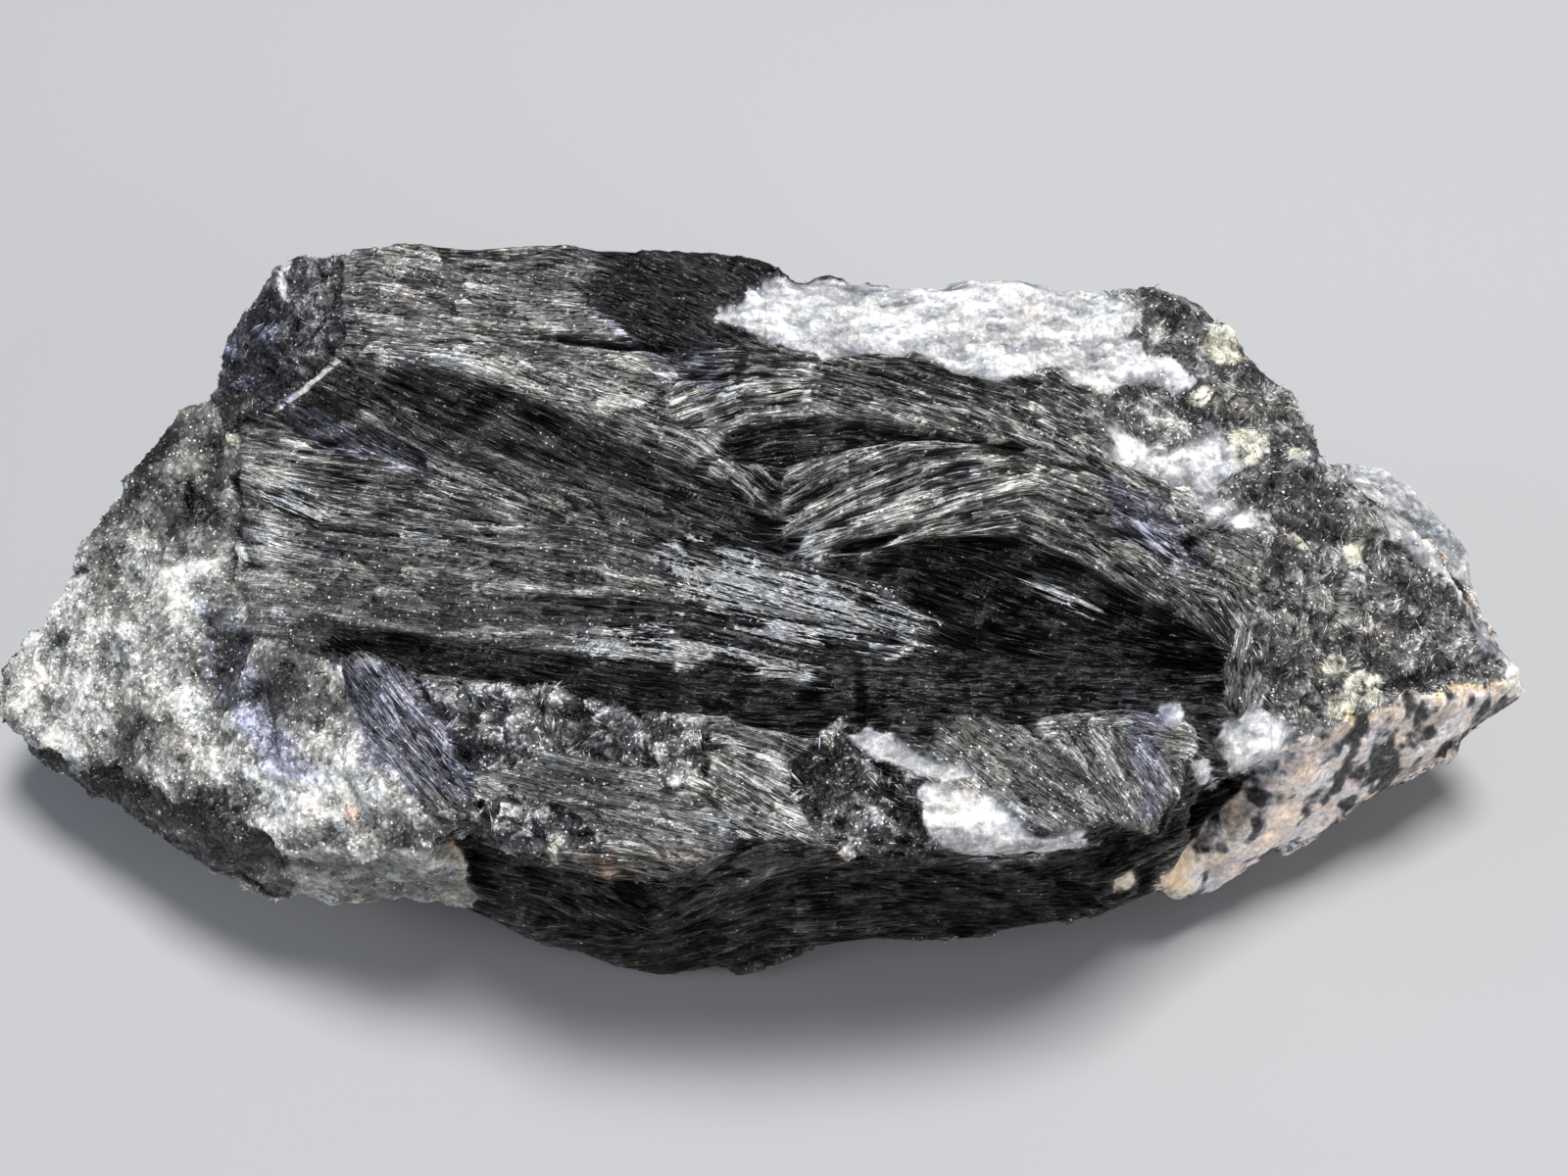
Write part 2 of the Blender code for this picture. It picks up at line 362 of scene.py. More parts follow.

# Bundles of fibre, drawn along their run as the camera sees them. Their lightness is the fibre's tone together
# with its sheen, painted into the colour:
# name: (points, reach in pixels, lightness from 0 to 1, lift in mm, fibre length in mm, disorder from 0 to 1)
BUNDLES = {
    "crest_left": ([(300, 285), (380, 284), (470, 300), (560, 308)], 26, 0.36, 0.2, 2.6, 0.7),
    "crest_back": ([(470, 266), (560, 262), (620, 274)], 16, 0.32, 0.1, 4.0, 0.3),
    "crest_right": ([(620, 275), (700, 300), (760, 325), (795, 348)], 24, 0.05, 0.1, 3.0, 0.2),
    "corner_block": ([(225, 380), (270, 340), (300, 300)], 30, 0.16, 0.0, 1.6, 0.6),
    "upper_band": ([(360, 332), (440, 338), (540, 350), (600, 350)], 18, 0.36, 0.3, 3.0, 0.5),
    "bright_knot": ([(400, 358), (480, 368), (570, 392), (640, 412)], 20, 0.46, 0.3, 3.0, 0.5),
    "long_sweep": ([(420, 395), (500, 425), (600, 475), (700, 515), (790, 542)], 32, 0.14, -0.2, 6.5, 0.2),
    "sweep_lower": ([(380, 428), (460, 470), (560, 505), (680, 540)], 28, 0.25, 0.1, 4.5, 0.4),
    "dark_plates": ([(285, 395), (350, 425), (430, 465)], 26, 0.14, 0.0, 3.0, 0.2),
    "left_gleam": ([(250, 462), (330, 475), (430, 492), (520, 520)], 22, 0.37, 0.3, 6.0, 0.2),
    "left_streak": ([(245, 492), (330, 528), (420, 545), (520, 560)], 18, 0.34, 0.3, 6.0, 0.25),
    "left_lower": ([(240, 545), (330, 562), (450, 577), (600, 590)], 28, 0.29, 0.0, 2.2, 0.6),
    "left_fine": ([(245, 610), (350, 622), (480, 635), (600, 640)], 28, 0.24, 0.1, 1.2, 0.85),
    "middle_fine": ([(500, 560), (600, 570), (690, 592)], 28, 0.3, 0.0, 1.8, 0.6),
    "silver": ([(680, 556), (760, 578), (860, 605), (940, 632)], 20, 0.24, 0.1, 4.0, 0.05),
    "under_silver": ([(560, 620), (700, 630), (840, 662), (900, 672)], 18, 0.16, -0.1, 4.0, 0.08),
    "dark_heart": (
        [(865, 560), (930, 560), (1000, 575), (1080, 605), (1160, 640)], 26, 0.05, -0.3, 7.0, 0.05
    ),
    "dark_right": ([(950, 606), (1020, 632), (1100, 650), (1230, 668)], 28, 0.02, -0.3, 7.0, 0.05),
    "low_band": ([(360, 652), (500, 674), (640, 702), (760, 716), (880, 718)], 20, 0.06, -0.3, 6.0, 0.07),
    "low_right": ([(860, 690), (980, 700), (1100, 700), (1240, 700)], 26, 0.11, -0.1, 4.0, 0.12),
    "fan_upper": ([(796, 522), (850, 490), (930, 462), (1010, 455), (1090, 478)], 17, 0.31, 0.2, 6.0, 0.06),
    "fan_middle": ([(800, 545), (870, 510), (950, 482), (1040, 470), (1110, 497)], 13, 0.34, 0.4, 6.0, 0.06),
    "fan_lower": (
        [(830, 562), (900, 538), (980, 512), (1060, 492), (1120, 512), (1180, 560)], 15, 0.46, 0.6, 6.0, 0.06
    ),
    "fan_toe": ([(880, 566), (960, 540), (1040, 526), (1110, 556), (1175, 606)], 13, 0.34, 0.4, 5.0, 0.08),
    "arch_front": ([(700, 430), (760, 408), (830, 402), (900, 420), (990, 445)], 15, 0.42, 0.3, 5.0, 0.08),
    "arch_dark": ([(720, 470), (790, 452), (880, 440), (960, 445), (1040, 460)], 13, 0.17, -0.4, 5.0, 0.08),
    "arch_back": ([(740, 370), (820, 368), (900, 385), (990, 415), (1070, 450)], 17, 0.34, 0.1, 5.0, 0.1),
    "arch_top": ([(760, 346), (850, 366), (950, 375), (1030, 395)], 13, 0.24, 0.2, 4.0, 0.12),
    "wrist": ([(640, 428), (700, 450), (760, 490), (800, 525)], 18, 0.32, 0.1, 4.0, 0.1),
    "olive_block": ([(1072, 500), (1110, 512), (1150, 522)], 28, 0.26, 0.5, 3.0, 0.02),
    "right_fall": ([(1040, 428), (1110, 465), (1170, 505), (1230, 560)], 17, 0.36, 0.1, 3.0, 0.6),
    "right_hook": ([(1100, 540), (1160, 572), (1210, 612), (1250, 655)], 16, 0.32, 0.2, 3.5, 0.6),
    "curl": ([(1205, 590), (1250, 605), (1272, 645), (1255, 705)], 18, 0.36, 0.6, 3.0, 0.35),
    "right_plain": ([(1190, 530), (1260, 555), (1330, 600), (1390, 640)], 26, 0.36, 0.0, 1.4, 0.7),
    "wing_top": ([(1230, 420), (1290, 470), (1345, 520)], 34, 0.32, 0.1, 0.9, 1.0),
    "wing_tip": ([(1330, 640), (1420, 652), (1510, 682)], 34, 0.38, 0.1, 1.2, 1.0),
    "chevron_left": ([(990, 745), (1040, 780), (1090, 815)], 19, 0.33, 0.2, 1.6, 0.7),
    "chevron_right": ([(1110, 752), (1150, 800), (1180, 845)], 22, 0.33, 0.4, 1.6, 0.7),
    "chevron_ridge": ([(1070, 742), (1150, 738), (1200, 750)], 9, 0.37, 0.5, 2.0, 0.3),
    "front_laths": ([(730, 790), (790, 825), (860, 850)], 17, 0.38, 0.4, 4.0, 0.35),
    "grey_lath": ([(725, 745), (790, 765), (850, 792)], 13, 0.4, 0.3, 3.5, 0.08),
    "front_low": ([(470, 790), (580, 812), (700, 840)], 22, 0.34, 0.1, 1.6, 0.7),
    "front_foot": ([(460, 840), (560, 868), (650, 880)], 15, 0.28, 0.1, 3.0, 0.18),
    "violet_silk": ([(370, 680), (412, 735), (464, 795)], 34, 0.36, 0.2, 3.0, 0.6),
    "knuckle_band": ([(440, 715), (540, 725), (640, 745), (730, 742)], 22, 0.36, 0.1, 1.3, 0.8),
    "belly_left": ([(480, 885), (560, 905), (660, 948)], 20, 0.13, 0.0, 5.0, 0.1),
    "belly_middle": ([(650, 952), (740, 905), (840, 882)], 18, 0.14, 0.3, 5.0, 0.1),
    "belly_right": ([(820, 888), (950, 902), (1090, 905)], 20, 0.11, 0.0, 5.0, 0.1),
    "belly_low": ([(580, 968), (680, 962), (780, 937), (900, 927)], 18, 0.15, -0.1, 5.0, 0.1),
    "belly_end": ([(1060, 892), (1130, 880), (1200, 842)], 20, 0.09, 0.0, 4.0, 0.15),
}

# Single marks of pale and dark tone, painted highlights, painted shadows, knobs and hollows; most knobs are
# lightened and most hollows darkened as painted light and shade:
# (place, half length, half width, angle downwards in degrees, lighter by, raised by in mm)
MARKS = [
    ((487, 372), 36, 12, 12, 0.2, 0.1), ((302, 517), 30, 4, 20, 0.5, 0.2),
    ((420, 312), 80, 22, 4, 0.04, 0.0), ((745, 468), 24, 8, 25, 0.15, 0.1),
    ((860, 540), 50, 5, -24, 0.12, 0.1), ((905, 500), 60, 5, -24, 0.1, 0.1),
    ((1000, 508), 60, 8, -14, 0.12, 0.1), ((1030, 500), 26, 4, -15, 0.25, 0.1),
    ((820, 400), 40, 9, 0, 0.1, 0.1), ((790, 600), 90, 18, 13, 0.1, 0.0),
    ((850, 632), 90, 14, 12, 0.1, 0.0), ((670, 662), 84, 13, 4, 0.1, 0.4), ((790, 682), 42, 8, 8, 0.1, 0.3),
    ((560, 335), 60, 6, 2, 0.06, 0.1), ((1225, 660), 22, 10, 10, 0.1, 0.1),
    ((1265, 640), 10, 30, 10, 0.08, 0.2), ((1440, 655), 14, 28, 0, 0.1, 0.2),
    ((1378, 560), 14, 14, 0, 0.12, 0.1), ((800, 830), 60, 12, 22, 0.06, 0.0),
    ((705, 800), 14, 10, 0, 0.35, 0.2), ((560, 435), 90, 22, 25, -0.06, 0.0),
    ((1000, 590), 130, 22, 14, -0.04, 0.0), ((625, 352), 62, 4, 4, -0.35, -1.0),
    ((660, 318), 55, 22, 20, -0.05, -0.1), ((395, 655), 34, 12, 4, -0.2, -0.4),
    ((980, 386), 60, 7, 12, -0.15, -0.3), ((760, 718), 120, 9, 0, -0.08, -0.2),
    ((900, 446), 70, 8, -2, -0.06, -0.2), ((820, 790), 30, 14, 40, -0.2, -0.3),
    ((1190, 690), 30, 8, 0, -0.1, -0.3), ((390, 425), 40, 6, 30, -0.1, -0.3),
    ((1180, 548), 70, 5, 5, -0.16, -0.3),
    # the fibre block's bright left end, and the seam in front of it, darkened as painted shade
    ((282, 480), 34, 34, 15, 0.26, 0.4), ((272, 560), 24, 60, 0, 0.38, 0.3),
    ((240, 520), 6, 90, 3, -0.14, -0.5), ((262, 635), 16, 34, -25, 0.12, 0.1),
    ((330, 662), 60, 10, 10, -0.1, -0.2),
    # the plates below the corner
    ((330, 408), 36, 9, 30, -0.12, -0.3), ((352, 438), 34, 10, -22, 0.14, 0.3),
    ((395, 470), 40, 7, 20, 0.14, 0.3), ((330, 458), 30, 5, -25, -0.12, -0.3),
    ((280, 370), 24, 10, -40, -0.08, -0.1), ((322, 318), 24, 16, 0, 0.2, 0.2),
    ((316, 284), 30, 12, 0, 0.3, 0.1), ((252, 345), 26, 9, -45, 0.16, 0.2),
    ((288, 332), 20, 7, -45, 0.16, 0.2), ((310, 286), 26, 10, 0, -0.08, 0.0),
    ((326, 335), 12, 6, 0, 0.18, 0.1), ((238, 360), 14, 5, 40, 0.14, 0.1),
    # the marble's pale clouds, and dark pits darkened as painted shade
    ((175, 480), 76, 70, -20, -0.26, 0.1), ((192, 503), 4, 20, 3, -0.5, -0.9),
    ((218, 490), 14, 60, 5, -0.18, -0.3), ((140, 505), 20, 36, 25, -0.08, 0.1),
    ((120, 570), 44, 14, -10, -0.12, 0.0), ((80, 583), 10, 5, 0, -0.45, -0.5),
    ((195, 582), 34, 8, -12, 0.34, 0.3), ((165, 610), 60, 10, -20, -0.05, -0.1),
    ((55, 632), 26, 22, -30, 0.28, 0.2), ((122, 642), 26, 20, -10, 0.28, 0.2),
    ((62, 655), 12, 8, 0, -0.35, -0.2), ((175, 635), 26, 24, 0, -0.1, 0.0),
    ((222, 640), 20, 34, -15, -0.36, -0.7), ((175, 712), 26, 14, 0, 0.3, 0.2),
    ((238, 718), 24, 12, -20, -0.34, -0.6), ((258, 708), 10, 14, 0, -0.3, -0.5),
    ((60, 700), 40, 20, 10, 0.05, 0.1), ((215, 770), 44, 16, 30, 0.3, 0.2),
    ((312, 800), 52, 46, -35, 0.4, 0.3), ((352, 700), 14, 50, -30, -0.2, 0.0),
    ((400, 780), 20, 30, -40, 0.1, 0.1), ((345, 755), 16, 22, 20, 0.3, 0.2),
    ((260, 792), 22, 12, 0, 0.22, 0.1), ((315, 836), 46, 6, -12, 0.36, 0.2),
    ((400, 822), 44, 30, 20, 0.16, 0.1), ((292, 700), 46, 34, 10, -0.26, 0.1),
    ((120, 800), 60, 12, 22, -0.18, -0.2), ((200, 815), 40, 14, 24, -0.2, -0.1),
    ((400, 873), 64, 5, 5, 0.26, 0.2), ((300, 880), 60, 5, 12, -0.16, -0.2),
    ((370, 905), 60, 10, 10, 0.1, 0.1), ((45, 790), 40, 5, 20, 0.2, 0.1),
    # knobs lightened as painted light and hollows darkened as painted shade among the knuckles
    ((457, 717), 20, 12, -10, 0.12, 0.5), ((462, 732), 20, 5, 5, -0.3, -0.6),
    ((500, 704), 24, 9, 0, 0.16, 0.4), ((512, 725), 14, 10, 0, -0.26, -0.6),
    ((536, 716), 12, 10, 30, 0.16, 0.4), ((575, 716), 22, 10, 15, 0.14, 0.5),
    ((590, 735), 14, 12, 0, -0.22, -0.5), ((628, 730), 32, 8, -8, 0.12, 0.4),
    ((490, 745), 20, 10, 20, 0.1, 0.3), ((485, 770), 26, 6, -15, -0.22, -0.5),
    ((550, 762), 22, 8, 15, 0.12, 0.3), ((640, 760), 30, 12, 15, 0.05, 0.3),
    ((700, 740), 20, 18, 80, 0.08, 0.3), ((720, 762), 5, 20, 0, -0.26, -0.6),
    ((590, 795), 60, 10, 5, -0.1, -0.3), ((565, 835), 40, 10, 12, 0.1, 0.2),
    ((495, 850), 36, 7, 20, -0.12, -0.3), ((566, 860), 10, 10, 0, 0.3, 0.2),
    ((640, 845), 50, 9, 10, -0.04, -0.2), ((792, 790), 14, 18, -20, 0.16, 0.3),
    ((850, 775), 26, 7, -35, -0.24, -0.6), ((835, 805), 18, 18, 0, -0.18, -0.3),
    ((900, 790), 36, 24, -20, 0.0, 0.3), ((880, 840), 26, 12, 10, 0.1, 0.3),
    ((820, 843), 30, 12, 15, 0.12, 0.2), ((930, 830), 12, 24, -10, -0.06, -0.2),
    ((880, 712), 3, 20, 0, -0.3, -0.7),
    # the wing's pale spots, and folds darkened as painted shade
    ((1180, 318), 34, 14, 5, -0.1, 0.2), ((1166, 396), 24, 9, -15, -0.25, -0.5),
    ((1172, 426), 30, 6, 20, 0.26, 0.1), ((1168, 464), 42, 14, 25, 0.2, 0.1),
    ((1232, 468), 26, 26, 0, 0.2, 0.2), ((1254, 526), 34, 12, 15, 0.2, 0.1),
    ((1080, 645), 150, 30, 9, -0.08, 0.0), ((1010, 650), 80, 14, 9, -0.2, -0.1),
    ((1210, 408), 8, 26, -20, -0.18, -0.4), ((1204, 385), 6, 20, -30, 0.16, 0.3),
    ((1170, 430), 40, 10, 15, 0.05, 0.0), ((1245, 530), 50, 7, -35, -0.2, -0.4),
    ((1300, 420), 24, 10, 10, 0.08, 0.0), ((1310, 425), 20, 10, 30, -0.12, -0.3),
    ((1320, 500), 26, 24, 0, -0.08, 0.0), ((1190, 485), 40, 8, 15, 0.14, 0.1),
    ((1140, 500), 14, 22, -30, -0.1, 0.0), ((1350, 545), 60, 7, 12, -0.12, -0.3),
    ((1400, 600), 50, 10, 30, 0.06, 0.1), ((1440, 610), 30, 8, 35, -0.12, -0.3),
    ((1350, 640), 30, 16, 0, -0.08, 0.0), ((1500, 665), 30, 10, 35, 0.14, 0.1),
    ((1460, 690), 50, 7, -12, -0.22, -0.4), ((1300, 690), 40, 14, 20, -0.14, -0.2),
    ((1195, 760), 8, 30, -15, -0.06, 0.0), ((1250, 760), 7, 16, -30, -0.3, -0.6),
    ((1218, 770), 20, 14, 0, 0.16, 0.3), ((1290, 762), 24, 18, 0, 0.3, 0.1),
    ((1000, 840), 60, 26, 25, 0.2, 0.0),
    # the flank's bright end, lightened as painted light over its pale nodules, and its hollows darkened as
    # painted shade
    ((1203, 896), 24, 16, -30, 0.46, 0.4), ((1148, 896), 8, 9, 0, 0.5, 0.2),
    ((1150, 860), 60, 14, -35, -0.06, -0.2), ((1300, 850), 50, 22, -38, 0.28, 0.1),
    ((1270, 830), 26, 10, -50, -0.2, -0.1), ((1540, 692), 24, 16, -20, 0.34, 0.2),
    # folds under the belly, darkened in their hollows as painted shade
    ((640, 900), 32, 26, 0, -0.04, -0.9), ((622, 902), 12, 16, 0, 0.16, 0.3),
    ((742, 900), 70, 9, -22, 0.03, 0.4), ((840, 915), 70, 6, -8, -0.05, -0.3),
    ((1000, 915), 90, 8, 4, 0.02, 0.2), ((600, 930), 60, 7, 22, -0.04, -0.3),
]

BUNDLE_STEP = 137.0  # pixels from one bundle's start to the next one's, so that no two have the same pattern
DIRECTION_BLEND = 3.0  # how sharply one bundle's direction gives way to the next one's
VALUE_BLEND = 5.0  # how sharply its lightness and height do
FARTHEST = 6.0  # half-widths from its middle line at which a bundle's pull stops falling


def unit(vectors):
    """Vectors made one long."""
    return vectors / np.maximum(np.linalg.norm(vectors, axis=1, keepdims=True), 1e-9)


def nearest_bundles(places):
    """For each place in the view: the direction of the fibre there, the place along and across its bundle in
    pixels, and the number of that bundle."""
    count = len(places)
    direction = np.zeros((count, 2))
    closest = np.full(count, np.inf)
    run, side = np.zeros(count), np.zeros(count)
    owner = np.zeros(count, int)
    for number, (points, reach, *_) in enumerate(BUNDLES.values()):
        corners = np.array(points, float)
        best = np.full(count, np.inf)
        tangent = np.zeros((count, 2))
        along, across = np.zeros(count), np.zeros(count)
        travelled = BUNDLE_STEP * number
        for start, end in zip(corners[:-1], corners[1:]):
            leg = end - start
            length = np.linalg.norm(leg)
            leg /= length
            offset = places - start
            share = np.clip(offset @ leg, 0, length)
            gap = np.linalg.norm(offset - share[:, None] * leg, axis=1) / reach
            closer = gap < best
            best[closer] = gap[closer]
            tangent[closer] = leg
            along[closer] = (travelled + offset @ leg)[closer]
            across[closer] = (offset @ np.array([-leg[1], leg[0]]))[closer]
            travelled += length
        direction += tangent * np.exp(-DIRECTION_BLEND * np.minimum(best, FARTHEST))[:, None]
        won = best < closest
        closest[won] = best[won]
        owner[won] = number
        run[won], side[won] = along[won], across[won]
    return unit(direction), run, side, owner


def shared(kinds, places):
    """Values of the bundles at each place, blended where bundles meet. kinds picks them by their number."""
    total, weight = np.zeros((len(kinds), len(places))), np.zeros(len(places))
    for bundle in BUNDLES.values():
        near = np.exp(-VALUE_BLEND * np.minimum(beside(bundle[0], places) / bundle[1], FARTHEST))
        total += np.array([[bundle[kind]] for kind in kinds]) * near
        weight += near
    return total / weight


def flat_on(directions, outward):
    """Directions turned to lie in the skin."""
    return unit(directions - np.sum(directions * outward, axis=1, keepdims=True) * outward)


FACING_EDGE = 3.0  # how sharply the side in view gives way to the sides out of sight
STEEPEST = 0.25  # the least slope of the skin towards the camera that the fibre is laid over
SHEAF_SIZE = 15 * MM  # out of sight the fibre runs in great straight sheaves
SHEAF_TURN = 0.6  # how far they lean from the rock's own length
SHEAF_SHIFT = 40  # mm that a sheaf's pattern is moved from its neighbour's
HIDDEN_LIGHTNESS, HIDDEN_FIBRE_LENGTH, HIDDEN_DISORDER = 0.24, 4.0, 0.3  # the sheaves' values, as in BUNDLES


def fibre_at(points, outward):
    """How the fibre runs at each point: its direction, the place along it and across it in mm, the number of
    its bundle, and how far the camera sees the skin there, from 0 to 1."""
    to_eye = unit(np.array(EYE) - points)
    facing = held(0.5 + FACING_EDGE * np.sum(outward * to_eye, axis=1))
    direction, run, side, owner = nearest_bundles(seen(points))
    in_view = direction[:, :1] * np.array(RIGHT) - direction[:, 1:] * np.array(UP)
    slant = np.sum(in_view * outward, axis=1) / np.minimum(np.sum(-to_eye * outward, axis=1), -STEEPEST)
    in_view = in_view + to_eye * slant[:, None]
    mm = points / MM
    bowed = points + 3 * MM * rough(points, 8 * MM, 18, 2)[:, None]
    turn = SHEAF_TURN * facets(bowed, SHEAF_SIZE, 19)[1]
    axis = unit(np.stack([np.ones(len(points)), turn[:, 0], 0.7 * turn[:, 1]], 1))
    first = np.stack([-axis[:, 1], axis[:, 0], np.zeros(len(points))], 1)
    second = np.cross(axis, first)
    behind = np.stack([np.sum(mm * way, axis=1) for way in (axis, first, second)], 1) + SHEAF_SHIFT * turn
    before = np.stack([run, side, np.zeros(len(points))], 1) * PIXEL / MM
    grain = np.where(facing[:, None] < 0.35, behind, before)
    grain[:, 1] += 0.25 * rough(grain, drawn_out(14, 1.1), 4)
    flow = flat_on(in_view * facing[:, None] + axis * (1 - facing[:, None]), outward)
    return flow, grain, owner, facing


def splinters(grain, length, width, seed):
    """A number from -1 to 1 for each of the long splinters that lie side by side and break off at random."""
    row, layer = np.floor(grain[:, 1:] / width).astype(np.int64).T
    shift = throw((row, layer, 0 * row), seed)[0]
    segment = np.floor(grain[:, 0] / length + 3 * shift).astype(np.int64)
    return throw((row, layer, segment), seed)[1]


def edged(value, low, high):
    """A smooth step from 0 at low to 1 at high."""
    share = held((value - low) / (high - low))
    return share * share * (3 - 2 * share)


def cracked(points, size, seed, octaves, width, fade):
    """Cracks that wind along the noise: 1 in a crack, 0 beside it."""
    return edged(width - np.abs(rough(points, size, seed, octaves)), 0, fade)


# The skin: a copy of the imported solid, remeshed finely and smoothed, and twice as fine on the side in view.
rock_skin = bpy.data.objects.new("rock_skin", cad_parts["specimen"].data.copy())
bpy.context.scene.collection.objects.link(rock_skin)
rock_skin.data.materials.clear()
bpy.context.view_layer.objects.active = rock_skin
rock_skin.select_set(True)
bpy.ops.object.mode_set(mode="EDIT")
bpy.ops.mesh.select_all(action="SELECT")
bpy.ops.mesh.remove_doubles(threshold=1e-6)
bpy.ops.object.mode_set(mode="OBJECT")
skin = rock_skin.modifiers.new("skin", "REMESH")
skin.mode = "VOXEL"
skin.voxel_size = SKIN_VOXEL
bpy.ops.object.modifier_apply(modifier="skin")


def read(collection, key, width=3, kind=np.float32):
    """A row of that many numbers for each item of a mesh's collection."""
    values = np.empty(len(collection) * width, kind)
    collection.foreach_get(key, values)
    return values.reshape(-1, width).astype(float if kind is np.float32 else int)


def towards_camera(centres, normals):
    """How far faces or corners are turned to the camera: above 0 if they are seen from in front."""
    return np.sum(normals * (np.array(EYE) - centres), axis=1)


def smooth_skin(rounds, group=""):
    """Smooths the skin, all over or where a vertex group is."""
    smooth = rock_skin.modifiers.new("smooth", "SMOOTH")
    smooth.factor = 0.5
    smooth.iterations = rounds
    smooth.vertex_group = group
    bpy.ops.object.modifier_apply(modifier="smooth")


smooth_skin(12)
mesh = rock_skin.data

# Out of sight the solid's small, even waves are smoothed away; break faces are laid on there later.
unseen = np.flatnonzero(towards_camera(read(mesh.vertices, "co"), read(mesh.vertex_normals, "vector")) < 0)
rock_skin.vertex_groups.new(name="unseen").add(unseen.tolist(), 1.0, "REPLACE")
smooth_skin(100, "unseen")

# The faces that the camera sees are cut in four.
bpy.ops.object.mode_set(mode="EDIT")
bpy.ops.mesh.select_mode(type="FACE")
bpy.ops.mesh.select_all(action="DESELECT")
bpy.ops.object.mode_set(mode="OBJECT")
in_front = towards_camera(read(mesh.polygons, "center"), read(mesh.polygons, "normal")) > 0
mesh.polygons.foreach_set("select", in_front)
bpy.ops.object.mode_set(mode="EDIT")
bpy.ops.mesh.subdivide(number_cuts=1)
bpy.ops.object.mode_set(mode="OBJECT")

points, outward = read(mesh.vertices, "co"), read(mesh.vertex_normals, "vector")
ends = read(mesh.edges, "vertices", 2, np.int32)
neighbours = np.bincount(ends.ravel(), minlength=len(points))


def evened(values, rounds):
    """The values averaged over neighbouring points that many times."""
    for _ in range(rounds):
        total = np.bincount(ends[:, 0], values[ends[:, 1]], len(points))
        total += np.bincount(ends[:, 1], values[ends[:, 0]], len(points))
        values = 0.5 * values + 0.5 * total / neighbours
    return values


# How far, in pixels, the edges of zones, veins and marks wander from where they are drawn.
ZONE_WANDER, VEIN_WANDER, MARK_WANDER = 8.0, 2.0, 3.0
x, y, z = (points / MM).T
flow, grain, owner, facing = fibre_at(points, outward)
straight = seen(points)
wander = np.stack([rough(points, 2.4 * MM, seed, 2) for seed in (3, 8)], 1)
places = straight + ZONE_WANDER * wander
torn = 0.6 * rough(points, 1.5 * MM, 51, 3) + 0.5 * facets(points, 1.0 * MM, 54)[0]  # tears the zones' edges
drift = rough(points, 9 * MM, 5)
stray = 5 * drift + 3 * rough(points, 4 * MM, 52, 3)  # how far the zones' edges wander out of sight, in mm

# Where each zone goes on the sides that the camera doesn't see, in mm from the rock's middle.
HIDDEN = {
    "marble": (-27.0 - x + stray) / 2,
    "calcite": np.maximum(
        held(2.0 - np.abs(x - 17 - stray) / 6) * held((y - 8 + stray / 2) / 3)
        * held((z - 10 - stray / 2) / 4),
        held((x - 33 + stray / 2) / 2) * held((y - 2 - stray) / 2),
    ),
    "flank": held((x - 26 - stray) / 3) * held((3.0 - y - stray / 3) / 3),
    "grey_side": held((-22 - x + stray / 2) / 3) * held((-8 - y + stray / 2) / 3),
    "wing": (x - 30 + stray) / 3,
    "knuckles": stray * 0.6 - 1.0,
    "corner": drift * -3 - 0.9,
    "belly": (4 - z) / 4,
    "violet": rough(points, 5 * MM, 21, 3) * 2 - 1.0,
    "rust": rough(points, 3 * MM, 33, 3) * 4 - 3.2,
}
TRACE = 0.01  # where a zone's share is smaller than this, its work is left out
SOFT_EDGED = ("violet", "belly")
EDGES = {"calcite": (24.0, 0.40)}  # how wide a zone's edge is in pixels, and how far it is torn
USUAL_EDGE = (12.0, 0.26)
zones = {}
for name, outlines in OUTLINES.items():
    edge, tear = EDGES.get(name, USUAL_EDGE)
    inside = np.maximum.reduce([cover(outline, places, edge) for outline in outlines])
    share = inside * facing + held(HIDDEN.get(name, np.zeros(len(points)))) * (1 - facing)
    if name not in SOFT_EDGED:
        share = edged(share + tear * torn * (share > 0.02), 0.30, 0.50)
    zones[name] = share
veined = np.zeros(len(points))
for line, half_width in VEINS:
    aside = beside(line, straight + VEIN_WANDER * wander)
    veined = np.maximum(veined, edged(half_width + torn - aside, -1, 1) * facing)
zones["calcite"] = np.maximum(zones["calcite"], veined)
for name in ("flank", "wing", "knuckles", "corner", "marble"):
    zones[name] *= 1 - zones["calcite"]
gaps = [np.linalg.norm(places - place, axis=1) / reach for place, reach in NODULES]
hidden_nodules = edged(rough(points, 3.2 * MM, 36), 0.62, 0.75) * zones["wing"]
seen_nodules = edged(1.5 - np.minimum.reduce(gaps) + 0.35 * torn, 0.35, 0.6)
zones["cream"] = seen_nodules * facing + hidden_nodules * (1 - facing)
WITHOUT_FIBRE = ("marble", "calcite", "flank", "grey_side", "left_rim", "cream")
others = np.maximum.reduce([zones[name] for name in WITHOUT_FIBRE])
fibrous = 1 - others
patchy = rough(points, 2.6 * MM, 53, 3) - 0.12 * zones["wing"] + 0.5 * zones["knuckles"]
tangle = edged(patchy, -0.22, 0.0)  # where the wing and the knuckles are grains, not fibre
matted = held(zones["wing"] + zones["knuckles"] + zones["corner"]) * (0.35 + 0.65 * tangle)
lightness, lift, disorder = shared((2, 3, 5), straight)
disorder = disorder * facing + HIDDEN_DISORDER * (1 - facing)
striped = fibrous * (1 - 0.9 * matted) * (1 - 0.4 * disorder)  # where single fibres show as stripes
